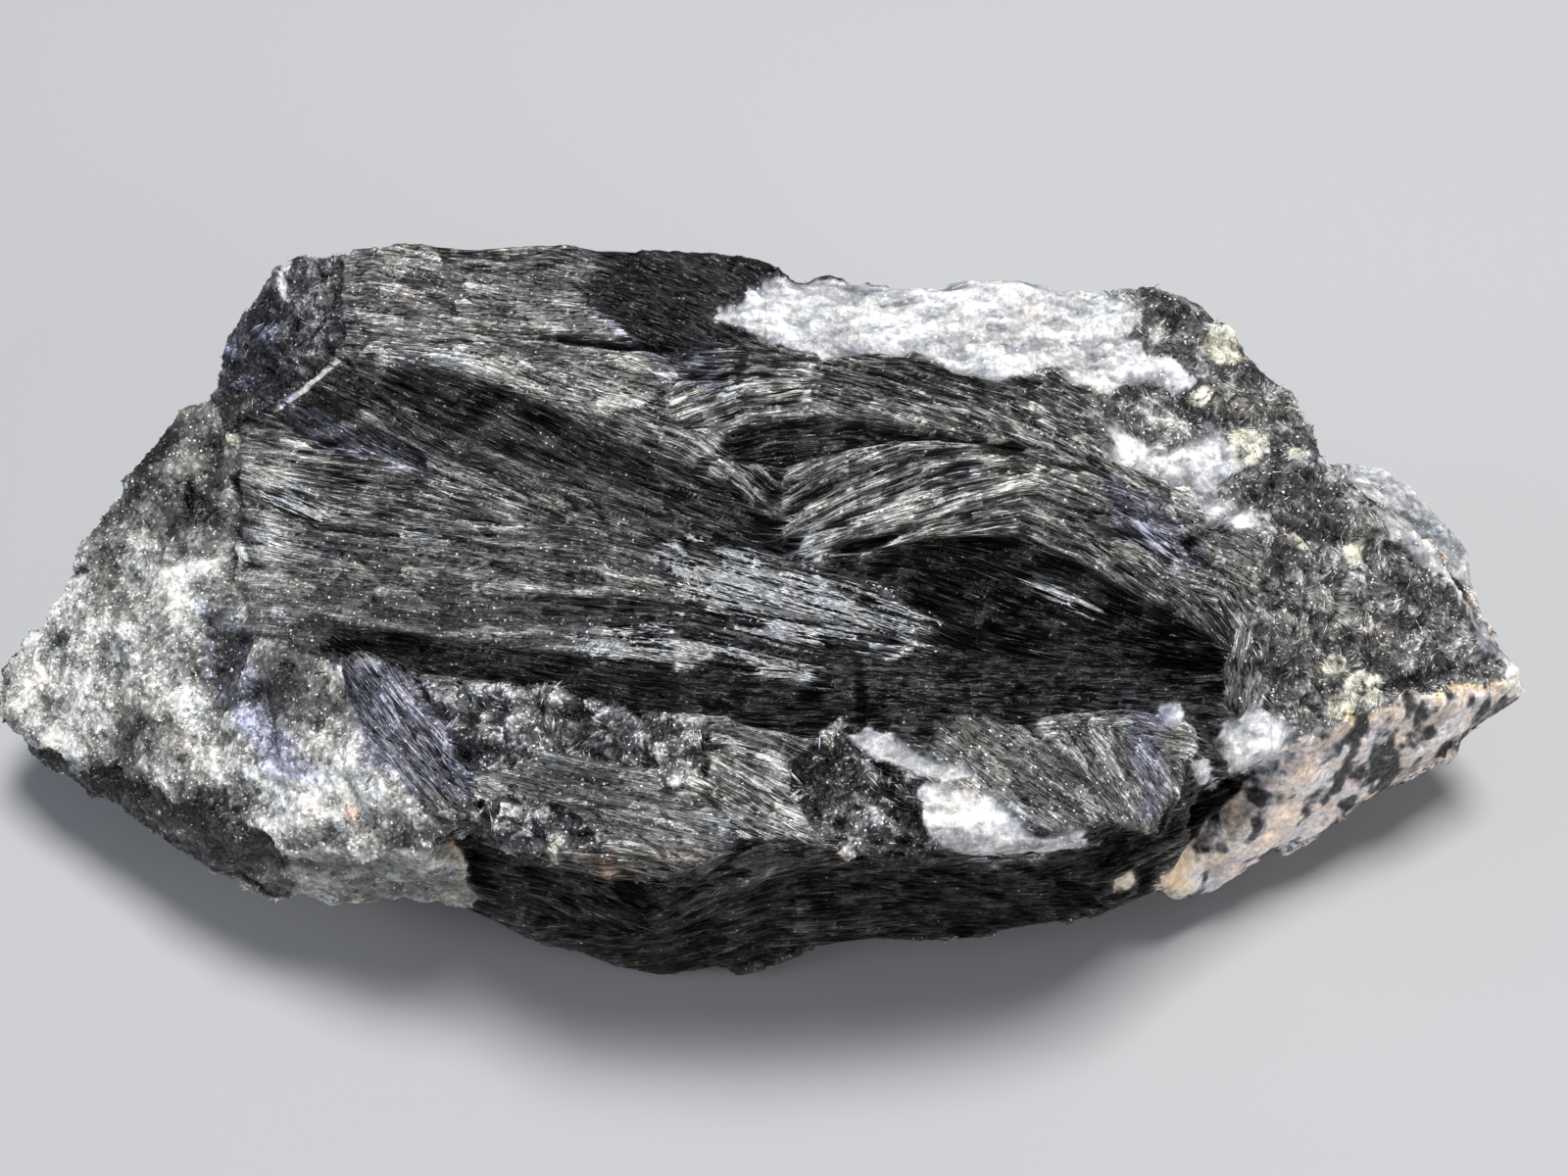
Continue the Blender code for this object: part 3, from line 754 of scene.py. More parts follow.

# The fibre's lightness and relief: steps and furrows between splinters, terraces, cracks along and across,
# and small crumpled sheaves that turn and tilt their own way, each with its own painted sheen in its
# lightness.
# Sizes in the grain are in mm, along it, across it and into it.
LEDGES = 3  # terraces from the lowest to the highest
hidden_lightness = HIDDEN_LIGHTNESS + 0.10 * rough(points, drawn_out(14, 5) * MM, 13)
lightness = LIGHTEN * lightness * facing + hidden_lightness * (1 - facing)
lift *= facing
fibre_length = np.array([bundle[4] for bundle in BUNDLES.values()])[owner] * facing
fibre_length += HIDDEN_FIBRE_LENGTH * (1 - facing)
crumples, numbers, _ = facets(grain, drawn_out(2.4, 0.9), 84)
painted_gleams, leaning = disorder * numbers[:, 0], disorder * numbers[:, 1]
ledges = rough(grain, drawn_out(12, 2.2), 2, 2) * LEDGES
terraces = (np.floor(ledges) + edged(ledges - np.floor(ledges), 0.35, 0.65)) / LEDGES
bands = rough(grain, drawn_out(9, 0.7), 64, 3)
coarse, middling = splinters(grain, 7, 0.8, 61), splinters(grain, 3.2, 0.37, 62)
thin = splinters(grain, 2.0, 0.19, 63)
creases = cracked(grain, drawn_out(9, 1.0), 66, 2, width=0.045, fade=0.03)
creases *= edged(rough(points, 5 * MM, 68), -0.1, 0.2)
breaks = cracked(grain, drawn_out(1.6, 4.5), 67, 3, width=0.035, fade=0.03)
breaks *= edged(rough(points, 4 * MM, 69), 0.15, 0.35)

# Each pattern's share in the relief, in mm, and in the lightness, in stops; the darkening of creases and
# breaks is painted shade in the cracks.
PATTERNS = [
    (bands, 0.10, 0.55), (coarse, 0.10, 0.10), (middling, 0.07, 0.25), (thin, 0.035, 0.50),
    (terraces, 0.0, 0.15), (creases, -0.22, -1.2), (breaks, -0.16, -1.0),
]
strands = sum(height * pattern for pattern, height, _ in PATTERNS)
contrast = sum(stops * pattern for pattern, _, stops in PATTERNS)
SLAB_SIZE, SLAB_HEIGHT = 7 * MM, 0.6  # the break faces out of sight
slabs = facets(points + 1.2 * MM * rough(points, 4 * MM, 86, 3)[:, None], SLAB_SIZE, 87)[0]
relief = fibrous * (lift + 0.30 * terraces * (0.5 + 0.5 * facing))
relief += SLAB_HEIGHT * slabs * (1 - facing)
relief += striped * strands * (0.6 + 0.4 * facing) + 0.14 * fibrous * disorder * facing * crumples
lightness *= 2.0 ** (striped * contrast * (1 - 0.6 * disorder) + 0.75 * fibrous * painted_gleams)
busy = np.full(len(points), 7.0)  # how strong the shader's fine pattern is
# Painted glints: the share of facets whose colour the shader lightens in small dots.
glitter = 0.04 + 0.09 * disorder  # the share of its facets that flash

# zone: (lightness, mottling in clouds and in facets, sink, lumps' height and size, facets' height and size,
#        strength of the fine pattern, share with a painted glint), in mm
BROKEN = {
    "marble": (0.56, 0.42, 0.10, 0.0, 0.45, 3.0, 0.16, 0.8, 3.4, 0.15),
    "calcite": (0.70, 0.06, 0.06, -0.15, 0.24, 3.6, 0.06, 1.3, 1.8, 0.02),
    "flank": (0.52, 0.10, 0.0, 0.0, 0.22, 2.6, 0.0, 0.9, 1.6, 0.01),
    "grey_side": (0.48, 0.24, 0.10, 0.0, 0.30, 2.4, 0.06, 0.9, 2.5, 0.02),
    "left_rim": (0.18, 0.28, 0.10, 0.0, 0.30, 2.4, 0.12, 0.9, 3.5, 0.04),
    "knuckles": (0.27, 0.20, 0.30, -0.1, 0.70, 1.7, 0.26, 0.8, 5.5, 0.14),
    "corner": (0.14, 0.12, 0.14, 0.0, 0.45, 1.8, 0.24, 0.8, 5.5, 0.06),
    "wing": (0.32, 0.24, 0.14, 0.0, 0.50, 2.2, 0.14, 0.6, 4.5, 0.11),
    "cream": (0.80, 0.08, 0.03, 0.06, 0.30, 0.9, 0.0, 0.5, 1.5, 0.01),
}
GRANULAR = ("knuckles", "corner", "wing")  # these keep a little of the fibre's own light and dark
for seed, (name, values) in enumerate(BROKEN.items()):
    base, mottling, patches, sink, lump, lump_size, facet, facet_size, pattern, flashing = values
    here = np.flatnonzero(zones[name] > TRACE)
    spot, share = points[here], zones[name][here]
    lumps = rough(spot, lump_size * MM, 10 * seed + 70, 4)
    heights, numbers, _ = facets(spot, facet_size * MM, 10 * seed + 71)
    relief[here] += share * (sink + lump * lumps + facet * heights)
    clouds = rough(spot, 1.4 * lump_size * MM, 10 * seed + 72, 5)
    # Raised lumps are a little lighter and sunken ones darker, as painted light and shade.
    own = base + mottling * clouds + patches * numbers[:, 0] + 0.10 * lumps
    busy[here] += share * (pattern - busy[here])
    glitter[here] += share * (flashing - glitter[here])
    if name in GRANULAR:
        share = 0.85 * share
    lightness[here] += share * (own - lightness[here])

blotches = np.zeros(len(points))  # blue-grey diopside in the pinkish calcite
here = np.flatnonzero(zones["flank"] > TRACE)
spot = np.stack([(x - y) / 2.0, (x + y) / 1.2, z / 1.3], 1)[here]
blotches[here] = edged(rough(spot, 1.2, 91, 5) + 0.8 * rough(spot, 4.0, 92, 2), -0.60, 0.15)
lightness += zones["flank"] * (0.76 * blotches - 0.43)

# Calcite splits along its cleavage, in streaks that lie along the crest.
here = np.flatnonzero(zones["calcite"] > TRACE)
spot, share = points[here], zones["calcite"][here]
STREAK, LONG_STREAK = drawn_out(5, 1.6) * MM, drawn_out(12, 5) * MM
SPLIT, CRACK = drawn_out(2.0, 0.7) * MM, drawn_out(5, 1.5) * MM
streaks = rough(spot, STREAK, 44, 5)
streaks *= 0.3 + 0.9 * edged(rough(spot, 6 * MM, 46, 2), -0.4, 0.4)
streaks += 0.6 * rough(spot, LONG_STREAK, 47, 4)
heights, numbers, _ = facets(spot + 0.4 * MM * wander[here, :1], SPLIT, 45)
cracks = cracked(spot, CRACK, 58, 4, width=0.04, fade=0.04)
cracks *= edged(rough(spot, 5 * MM, 59), -0.2, 0.1)
# Cracks are darkened in the colour as painted shade.
lightness[here] += share * (0.20 * streaks + 0.10 * numbers[:, 0] - 0.24 * cracks)
relief[here] += share * (0.10 * heights + 0.08 * streaks - 0.10 * cracks)
lightness -= 0.04 * zones["violet"] * zones["marble"]

# Each mark adds to the lightness, as the minerals' tone and as painted light and shade, and to the relief.
# Fibre keeps its stripes inside a mark.
for place, half_length, half_width, angle, lighter, raised in MARKS:
    turn = math.radians(angle)
    offset = straight + MARK_WANDER * wander - np.array(place)
    ahead = (offset[:, 0] * math.cos(turn) + offset[:, 1] * math.sin(turn)) / half_length
    aside = (offset[:, 1] * math.cos(turn) - offset[:, 0] * math.sin(turn)) / half_width
    share = np.exp(-(ahead**2) - aside**2) * facing
    lightness += lighter * share * np.clip(1 + 0.8 * striped * contrast, 0, 2)
    relief += raised * share

# Plates of fibre that reflect the light, with the reflection painted into their lightness; the flakes laid on
# them later carry the painted brightness.
painted_reflection = np.zeros(len(points))
for outline, brightness, fringe in PLATES:
    plate = edged(cover(outline, straight, fringe) + 0.30 * middling + 0.12 * thin, 0.45, 0.65) * facing
    lightness += plate * (0.8 * brightness * (1 + 0.5 * thin) - lightness)
    painted_reflection = np.maximum(painted_reflection, plate * brightness)

# In the wing the blades stand in sprays; each spray's sheen on two sides is painted into the lightness, and
# the gaps between sprays are darkened as painted shade.
here = np.flatnonzero(matted > TRACE)
spot = points[here]
SPRAY_SIZE = 2.6 * MM
_, numbers, away = facets(spot + 0.4 * MM * wander[here, :1], SPRAY_SIZE, 83)
spray, sheen, rifts = flow.copy(), np.zeros(len(points)), np.zeros(len(points))
spray[here] = flat_on(away, outward[here])
sheen[here] = 2 * np.sum(spray[here] * flat_on(numbers, outward[here]), axis=1) ** 2 - 1
rifts[here] = cracked(spot, 1.8 * MM, 57, 3, width=0.07, fade=0.05)
lightness *= 2.0 ** (0.5 * sheen * matted * (1 - tangle)) * (1 - 0.7 * matted * rifts)
relief -= 0.2 * matted * rifts
relief += (1 - striped) * (evened(relief, 3) - relief)
massive = zones["marble"] * edged(lightness, 0.72, 0.95)  # where the marble is white and without grains
busy -= 2.0 * massive
# Painted shade: hollows below their surroundings are darkened in the colour, and raised parts a little
# lightened as painted light.
HOLLOW_PAINTED_SHADE = 1.3  # how much darker a hollow is for each mm of its depth
BLACKEST, WHITEST = 0.02, 0.95
hollow = relief - evened(relief, 50)
lightness *= 1 + HOLLOW_PAINTED_SHADE * np.clip(hollow, -0.5, 0.3)
lightness = np.clip(lightness, BLACKEST, WHITEST)
lightness = np.maximum(lightness, 0.85 * veined)

# The relief stays inside the solid's own bounds, and the foot is only a little hollow.
FOOT_HEIGHT, FOOT_HOLLOW = 0.25 * MM, 0.30 * MM
low, high = (np.array(corner) for corner in cad_bounds)
broken = points + outward * relief[:, None] * MM
foot = points[:, 2] < FOOT_HEIGHT
broken[foot, 2] = FOOT_HOLLOW * held(rough(points[foot], 3 * MM, 30, 3))
broken = np.clip(broken, low, high)
mesh.vertices.foreach_set("co", broken.astype(np.float32).ravel())
mesh.update()
bed = BVHTree.FromPolygons(broken.tolist(), [tuple(face.vertices) for face in mesh.polygons])

# The tints of the minerals, multiplied into their lightness.
TINTS = {
    "marble": (1.0, 1.0, 0.99), "calcite": (0.975, 0.985, 1.03), "flank": (1.10, 0.98, 0.92),
    "grey_side": (1.0, 1.01, 0.96), "left_rim": (1.01, 1.01, 1.0), "belly": (1.08, 1.0, 0.90),
    "corner": (0.96, 0.96, 1.05), "knuckles": (0.98, 0.985, 1.02), "cream": (1.02, 1.0, 0.86),
    "violet": (0.88, 0.90, 1.14), "rust": (1.22, 0.97, 0.84), "ochre": (1.12, 1.02, 0.78),
}
tint = np.ones((len(points), 3)) * (1.0, 1.0, 0.985)
for name, colour in TINTS.items():
    tint *= 1 + zones[name][:, None] * (np.array(colour) - 1)
hue = rough(points, 2.2 * MM, 95, 3)
cool = edged(0.34 - lightness, 0, 0.2) * fibrous * (1 - zones["belly"])
# Calcite darker than its white is tinted blue-grey, as painted shade.
shadowy = zones["calcite"] * edged(0.74 - lightness, 0, 0.2)
# Among the shifts, the plates' painted reflection turns bluer.
SHIFTS = [  # (where, what it adds to red, green and blue)
    (0.05 * hue, (1, 0.2, -1)), (painted_reflection > 0, (-0.03, 0.0, 0.05)), (cool, (-0.02, -0.03, 0.09)),
    (shadowy, (-0.07, -0.03, 0.05)),
]
for share, shift in SHIFTS:
    tint *= 1 + share[:, None] * np.array(shift)
tint += (zones["flank"] * (1 - blotches))[:, None] * np.array([-0.14, 0.0, 0.14])
tint *= 1 + 0.10 * (zones["flank"] * hue)[:, None] * np.array([1, 0.1, -1])


def paint(mesh, **layers):
    """Writes a number or a vector for each point into the mesh, for the shader to read."""
    for name, values in layers.items():
        kind, field = ("FLOAT", "value") if values.ndim == 1 else ("FLOAT_VECTOR", "vector")
        mesh.attributes.new(name, kind, "POINT").data.foreach_set(field, values.astype(np.float32).ravel())


paint(mesh, lightness=lightness, striped=striped, busy=busy, glitter=glitter, grain=grain, tint=tint)


def make_node(tree, kind, inputs=(), **settings):
    """Adds a shader node with its settings and inputs."""
    made = tree.nodes.new(kind)
    for setting, value in settings.items():
        setattr(made, setting, value)
    plug(tree, made, inputs)
    return made


def maths(tree, operation, *values):
    return make_node(tree, "ShaderNodeMath", enumerate(values), operation=operation).outputs[0]


def vector_maths(tree, operation, inputs):
    return make_node(tree, "ShaderNodeVectorMath", inputs, operation=operation).outputs[0]


def stepped(tree, value, low, high, lowest=0.0, highest=1.0):
    """A smooth step of a value, from lowest at low to highest at high."""
    ends = {"Value": value, "From Min": low, "From Max": high, "To Min": lowest, "To Max": highest}
    return make_node(tree, "ShaderNodeMapRange", ends, interpolation_type="SMOOTHSTEP").outputs["Result"]


def noise_at(tree, place, size, detail=3.0, roughness=0.6):
    """Noise from 0 to 1 whose lumps are that many of the place's own units across."""
    inputs = {"Vector": place, "Scale": 1 / size, "Detail": detail, "Roughness": roughness}
    return make_node(tree, "ShaderNodeTexNoise", inputs).outputs["Fac"]


def painted(tree, name, output="Fac"):
    """A value that the mesh holds for each of its points."""
    return make_node(tree, "ShaderNodeAttribute", attribute_name=name).outputs[output]


def new_group(name, inputs, outputs):
    """An empty node group with its sockets, its input node and its output node."""
    group = bpy.data.node_groups.new(name, "ShaderNodeTree")
    for socket, (kind, value) in inputs.items():
        made = group.interface.new_socket(socket, in_out="INPUT", socket_type=kind)
        made.default_value = value
    for socket, kind in outputs.items():
        group.interface.new_socket(socket, in_out="OUTPUT", socket_type=kind)
    return group, group.nodes.new("NodeGroupInput").outputs, group.nodes.new("NodeGroupOutput")


def grouped(tree, group, **inputs):
    """Places a node group in a material, with its inputs set or linked."""
    return make_node(tree, "ShaderNodeGroup", inputs, node_tree=group).outputs


FLOAT, VECTOR = "NodeSocketFloat", "NodeSocketVector"
DARKEST, GAMMA = 0.03, 2.2
MINERAL_IOR = 1.60

# A mineral's colour: its lightness as the eye sees it, made a reflectance, in its tint.
mineral, given, result = new_group(
    "mineral", {"Lightness": (FLOAT, 0.5), "Tint": (VECTOR, (1, 1, 1))}, {"Colour": VECTOR}
)
at_least = maths(mineral, "MAXIMUM", given["Lightness"], DARKEST)
reflectance = maths(mineral, "POWER", maths(mineral, "MINIMUM", at_least, 1.0), GAMMA)
coloured = vector_maths(mineral, "SCALE", {0: given["Tint"], "Scale": reflectance})
plug(mineral, result, {"Colour": coloured})

# Crystal facets that each turn their own way: their normals, a chance from 0 to 1, and dots where they flash,
# which the rock's faces paint into their colour as glints.
sparkle, given, result = new_group(
    "sparkle", {"Place": (VECTOR, (0, 0, 0)), "Turn": (FLOAT, 0.6), "Share": (FLOAT, 0.05)},
    {"Normal": VECTOR, "Chance": FLOAT, "Flash": FLOAT},
)
surface = make_node(sparkle, "ShaderNodeNewGeometry").outputs["Normal"]
cells = make_node(sparkle, "ShaderNodeTexVoronoi", {"Vector": given["Place"], "Scale": 1.0}).outputs
centred = vector_maths(sparkle, "SUBTRACT", {0: cells["Color"], 1: (0.5, 0.5, 0.5)})
turned = vector_maths(sparkle, "SCALE", {0: centred, "Scale": given["Turn"]})
leaned = vector_maths(sparkle, "ADD", {0: surface, 1: turned})
chance = make_node(sparkle, "ShaderNodeSeparateColor", {"Color": cells["Color"]}).outputs["Green"]
chosen = maths(sparkle, "LESS_THAN", chance, given["Share"])
small = maths(sparkle, "LESS_THAN", cells["Distance"], 0.42)
strong = maths(sparkle, "DIVIDE", chance, given["Share"])
flash = maths(sparkle, "MULTIPLY", maths(sparkle, "MULTIPLY", chosen, small), strong)
normal = vector_maths(sparkle, "NORMALIZE", {0: leaned})
plug(sparkle, result, {"Normal": normal, "Chance": chance, "Flash": flash})

FURROWS = (0.5, 11.0, 11.0)  # the fine pattern's lumps in a mm along, across and into the fibre
DASHES = (2.6, 10.0, 10.0)  # the same for the facets on the fibre
SUGAR, CRUMB = 0.40 * MM, 0.24 * MM  # the lumps and facets where there is no fibre
# Painted glints: the dots where facets flash are made lighter in the base colour.
DOT = 0.17 * MM  # a facet that flashes
GLINT_GAIN, GLINT_BASE = 1.7, 0.45  # how much lighter it is, for each unit of lightness and on black
FINE_DEPTH = 0.09 * MM
GLOSSIEST = 0.22  # the roughness of the smoothest facets


def broken_face(name, roughest, facet_turn):
    """The finish of a torn face: furrows along the fibre or sugar in the grains, and facets that flash, with
    painted glints in the base colour.
    """
    material, tree, shader = new_material(name)
    here = make_node(tree, "ShaderNodeTexCoord").outputs["Object"]
    in_fibre, light = painted(tree, "striped"), painted(tree, "lightness")
    along = painted(tree, "grain", "Vector")
    stretched = vector_maths(tree, "MULTIPLY", {0: along, 1: FURROWS})
    furrows = noise_at(tree, stretched, size=1.0, detail=4.0, roughness=0.6)
    sugar = noise_at(tree, here, SUGAR, detail=4.0, roughness=0.7)
    sides = stepped(tree, in_fibre, 0.45, 0.55)
    fine = make_node(tree, "ShaderNodeMix", {0: in_fibre, 2: sugar, 3: furrows}).outputs[0]
    dashes = vector_maths(tree, "MULTIPLY", {0: along, 1: DASHES})
    crumbs = vector_maths(tree, "SCALE", {0: here, "Scale": 1 / CRUMB})
    flakes = make_node(tree, "ShaderNodeMix", {0: sides, 4: crumbs, 5: dashes}, data_type="VECTOR").outputs[1]
    sparkles = grouped(tree, sparkle, Place=flakes, Turn=facet_turn, Share=0.0)
    dots = vector_maths(tree, "SCALE", {0: here, "Scale": 1 / DOT})
    glints = grouped(tree, sparkle, Place=dots, Turn=0.0, Share=painted(tree, "glitter"))
    stops = maths(tree, "MULTIPLY", maths(tree, "SUBTRACT", fine, 0.5), painted(tree, "busy"))
    varied = maths(tree, "MULTIPLY", maths(tree, "POWER", 2.0, stops), light)
    strength = maths(tree, "MULTIPLY_ADD", light, GLINT_GAIN, GLINT_BASE)
    flashed = maths(tree, "MULTIPLY_ADD", glints["Flash"], strength, varied)
    colour = grouped(tree, mineral, Lightness=flashed, Tint=painted(tree, "tint", "Vector"))["Colour"]
    gloss = stepped(tree, sparkles["Chance"], 0.0, 1.0, GLOSSIEST, roughest)
    depth = {"Height": fine, "Distance": FINE_DEPTH, "Strength": 1.0, "Normal": sparkles["Normal"]}
    bumps = make_node(tree, "ShaderNodeBump", depth).outputs["Normal"]
    plug(tree, shader, {"Base Color": colour, "Roughness": gloss, "Normal": bumps, "IOR": MINERAL_IOR})
    return material, tree, shader


rock_face, _, _ = broken_face("rock_face", roughest=0.75, facet_turn=0.8)
calcite_face, tree, shader = broken_face("calcite_face", roughest=0.55, facet_turn=0.25)
CLEAR_DEPTH = {"Subsurface Weight": 0.35, "Subsurface Radius": (1.0, 1.0, 1.0), "Subsurface Scale": 0.5 * MM}
plug(tree, shader, CLEAR_DEPTH)
mesh.materials.append(rock_face)
mesh.materials.append(calcite_face)
first_corner = np.array([face.vertices[0] for face in mesh.polygons])
mesh.polygons.foreach_set("use_smooth", (striped + zones["calcite"] > 0.5)[first_corner])
mesh.polygons.foreach_set("material_index", (zones["calcite"] > 0.5)[first_corner].astype(np.int32))

# The skin is cut across into six closed pieces of like weight, end to end, so that each stays light enough.
SLICES = [
    "marble_end", "fibrous_left", "fibrous_middle", "fibrous_right", "granular_shoulder", "granular_tip",
]
inner_cuts = np.quantile(broken[:, 0], np.arange(1, len(SLICES)) / len(SLICES))
cuts = [None, *inner_cuts.tolist(), None]
for name, left, right in zip(SLICES, cuts[:-1], cuts[1:]):
    piece = rock_skin.copy()
    piece.data = mesh.copy()
    piece.name = piece.data.name = name
    bpy.context.scene.collection.objects.link(piece)
    bpy.ops.object.select_all(action="DESELECT")
    bpy.context.view_layer.objects.active = piece
    piece.select_set(True)
    bpy.ops.object.mode_set(mode="EDIT")
    for cut, keeps_left in ((left, False), (right, True)):
        if cut is not None:
            bpy.ops.mesh.select_all(action="SELECT")
            bpy.ops.mesh.bisect(
                plane_co=(cut, 0, 0), plane_no=(1, 0, 0), use_fill=True,
                clear_outer=keeps_left, clear_inner=not keeps_left, threshold=1e-7,
            )
    bpy.ops.object.mode_set(mode="OBJECT")
    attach(piece, "root")
    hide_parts("specimen")
bpy.data.objects.remove(rock_skin)

# ---- The single fibres -------------------------------------------------------------------------------------
# Ludwigite grows as thin prisms that lie side by side. Where the rock was torn along them they stand out as
# splinters with two flat, bright sides and pointed ends, less than a tenth of a millimetre thick.

mesh.calc_loop_triangles()
corner_of = read(mesh.loop_triangles, "vertices", 3, np.int32)
corner_points = broken[corner_of]
sides_crossed = np.cross(corner_points[:, 1] - corner_points[:, 0], corner_points[:, 2] - corner_points[:, 0])
triangle_area = 0.5 * np.linalg.norm(sides_crossed, axis=1)


def pick_spots(count, density, random):
    """Random spots on the skin, more where density is higher: their nearest vertex and their place."""
    weight = np.cumsum(triangle_area * density[corner_of].mean(axis=1))
    chosen = corner_of[np.searchsorted(weight, random.random(count) * weight[-1])]
    share = random.dirichlet((1.0, 1.0, 1.0), count)
    spots = np.einsum("nc,ncx->nx", share, broken[chosen])
    return chosen[np.arange(count), share.argmax(axis=1)], spots


def square_cells(count):
    """The places of that many cells laid in rows in a square, and how many stand in a row."""
    across = math.ceil(math.sqrt(count))
    return np.stack([np.arange(count) % across, np.arange(count) // across], 1), across


def one_mesh(name, copies, faces, values, material):
    """Joins copies of one small shape of triangles, given as (copy, vertex, xyz), into one piece, with values
    on each copy and a map that gives each copy a cell of its own."""
    count, corners, _ = copies.shape
    triangles = (np.array(faces)[None] + (np.arange(count) * corners)[:, None, None]).reshape(-1, 3)
    made = bpy.data.meshes.new(name)
    made.vertices.add(count * corners)
    made.vertices.foreach_set("co", np.clip(copies, low, high).astype(np.float32).ravel())
    made.loops.add(triangles.size)
    made.loops.foreach_set("vertex_index", triangles.astype(np.int32).ravel())
    made.polygons.add(len(triangles))
    made.polygons.foreach_set("loop_start", np.arange(len(triangles), dtype=np.int32) * 3)
    paint(made, **{key: np.repeat(value, corners, axis=0) for key, value in values.items()})
    cell, across = square_cells(count)
    face_cell, face_across = square_cells(len(faces))
    in_face = face_cell[:, None] + np.array([(0.1, 0.1), (0.9, 0.1), (0.5, 0.9)])
    map_places = (cell[:, None, None] + 0.1 + 0.8 * in_face[None] / face_across) / across
    made.uv_layers.new(name="OFBake").data.foreach_set("uv", map_places.astype(np.float32).ravel())
    made.update()
    made.validate()
    made.materials.append(material)
    piece = bpy.data.objects.new(name, made)
    bpy.context.scene.collection.objects.link(piece)
    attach(piece, "root")


SLIVER_FACES = [(0, 1, 2), (1, 0, 3), (0, 2, 3), (1, 3, 2)]  # two tips on a ridge, and a corner on each side
ALIKE_LENGTH, ALIKE_WIDTH = 2.6, 0.08  # mm of the fibre in which slivers are of one lightness
# Flakes are painted lit and shaded: most bright with their plate's painted reflection, the rest dark as
# painted shade.
FLAKE_LIGHT, FLAKE_DARK = 1.3, 0.15  # a flake's lightness in the light and out of it, against its plate's
FLAKE_THINNER = 0.4  # how thick a flake is against a fibre of its width
WARMER = np.array([1, 0, -1])  # more red and less blue
SIZE_SPREAD = 0.30  # how much single sizes differ
# Painted glints: slivers and grains that catch the light are made lighter in their colour.
GLINT_PAINT, GLINT_PAINT_SHARE = 0.35, 0.03  # how much lighter slivers that catch the light are, and their share


def swung(start, aim, angle):
    """Directions swung by an angle, from their start towards their aim."""
    return start * np.cos(angle)[:, None] + aim * np.sin(angle)[:, None]


def laid_down(wanted):
    """The nearest places on the skin, and whether there is no fibre there."""
    found = [bed.find_nearest(place) for place in wanted.tolist()]
    strays = others[first_corner[[index for _, _, index, _ in found]]] > 0.5
    return np.array([place[:] for place, *_ in found]), strays


def lay_slivers(name, count, density, seed, long, wide, flakes=False):
    """Lays slivers on the skin along the fibre. long is their length as a share of their bundle's fibres' and
    wide their width in mm. Flakes carry their plate's painted reflection, and some are dark as painted shade."""
    random = np.random.default_rng(seed)
    owner, spots = pick_spots(count, density, random)
    up = outward[owner]
    flow_here, grain_here, _, _ = fibre_at(spots, up)
    line = splinters(grain_here, ALIKE_LENGTH, ALIKE_WIDTH, 81)
    length = long * fibre_length[owner] * random.uniform(0.25, 1.1, count) * MM
    width = wide * random.lognormal(0, SIZE_SPREAD, count) * MM
    turn = random.normal(0, 1, count) * (0.012 + 0.12 * disorder[owner]) + 0.45 * leaning[owner]
    ahead = swung(flow_here, np.cross(up, flow_here), turn)
    raised = random.uniform(0.01, 0.05, count) * MM
    lift_off = random.uniform(-0.01, 0.02, count) * MM
    tips = []
    for share in (-0.5, 0.5):
        landed, strays = laid_down(spots + ahead * (share * length)[:, None])
        landed[strays] = (spots + 0.15 * (landed - spots))[strays]
        tips.append(landed + up * raised[:, None])
    whole = tips[1] - tips[0]
    aside = unit(np.cross(up, unit(whole)))
    roll = random.normal(0, 0.30, count)
    across, upward = swung(aside, up, roll), swung(up, -aside, roll)
    thickness = width * random.uniform(0.3, 0.7, count) * (FLAKE_THINNER if flakes else 1.0)
    corners = []
    for turned in (1, -1):
        wanted = tips[0] + whole * random.uniform(0.12, 0.88, count)[:, None]
        landed, _ = laid_down(wanted + turned * across * (0.5 * width)[:, None])
        corners.append(landed + up * (raised + lift_off)[:, None] - upward * thickness[:, None])
    copies = np.stack([tips[0], tips[1], *corners], axis=1)
    stops = line + random.normal(0, 0.45, count)
    own = lightness[owner] * 2.0**stops + GLINT_PAINT * (random.random(count) < GLINT_PAINT_SHARE)
    # Painted reflection on the flakes, and painted shade on the dark ones.
    if flakes:
        light = FLAKE_LIGHT + 0.15 * random.normal(0, 1, count)
        own = painted_reflection[owner] * np.where(line > -0.4, light, FLAKE_DARK)
    values = {
        "lightness": own,
        "tint": tint[owner] * (1 + random.normal(0, 0.035, count)[:, None] * WARMER),
        "gloss": random.random(count),
    }
    one_mesh(name, copies, SLIVER_FACES, values, fibre_silk)


SPECKLE = 0.2 * MM


def loose_material(name, gloss_start, gloss_range):
    """The finish of slivers and grains: each one's own lightness, tint and gloss."""
    material, tree, shader = new_material(name)
    place = make_node(tree, "ShaderNodeTexCoord").outputs["Object"]
    speckle = maths(tree, "SUBTRACT", noise_at(tree, place, SPECKLE), 0.5)
    uneven = maths(tree, "MULTIPLY_ADD", speckle, 1.2, 1.0)
    varied = maths(tree, "MULTIPLY", uneven, painted(tree, "lightness"))
    colour = grouped(tree, mineral, Lightness=varied, Tint=painted(tree, "tint", "Vector"))["Colour"]
    gloss = maths(tree, "MULTIPLY_ADD", painted(tree, "gloss"), gloss_range, gloss_start)
    plug(tree, shader, {"Base Color": colour, "Roughness": gloss, "IOR": MINERAL_IOR})
    return material


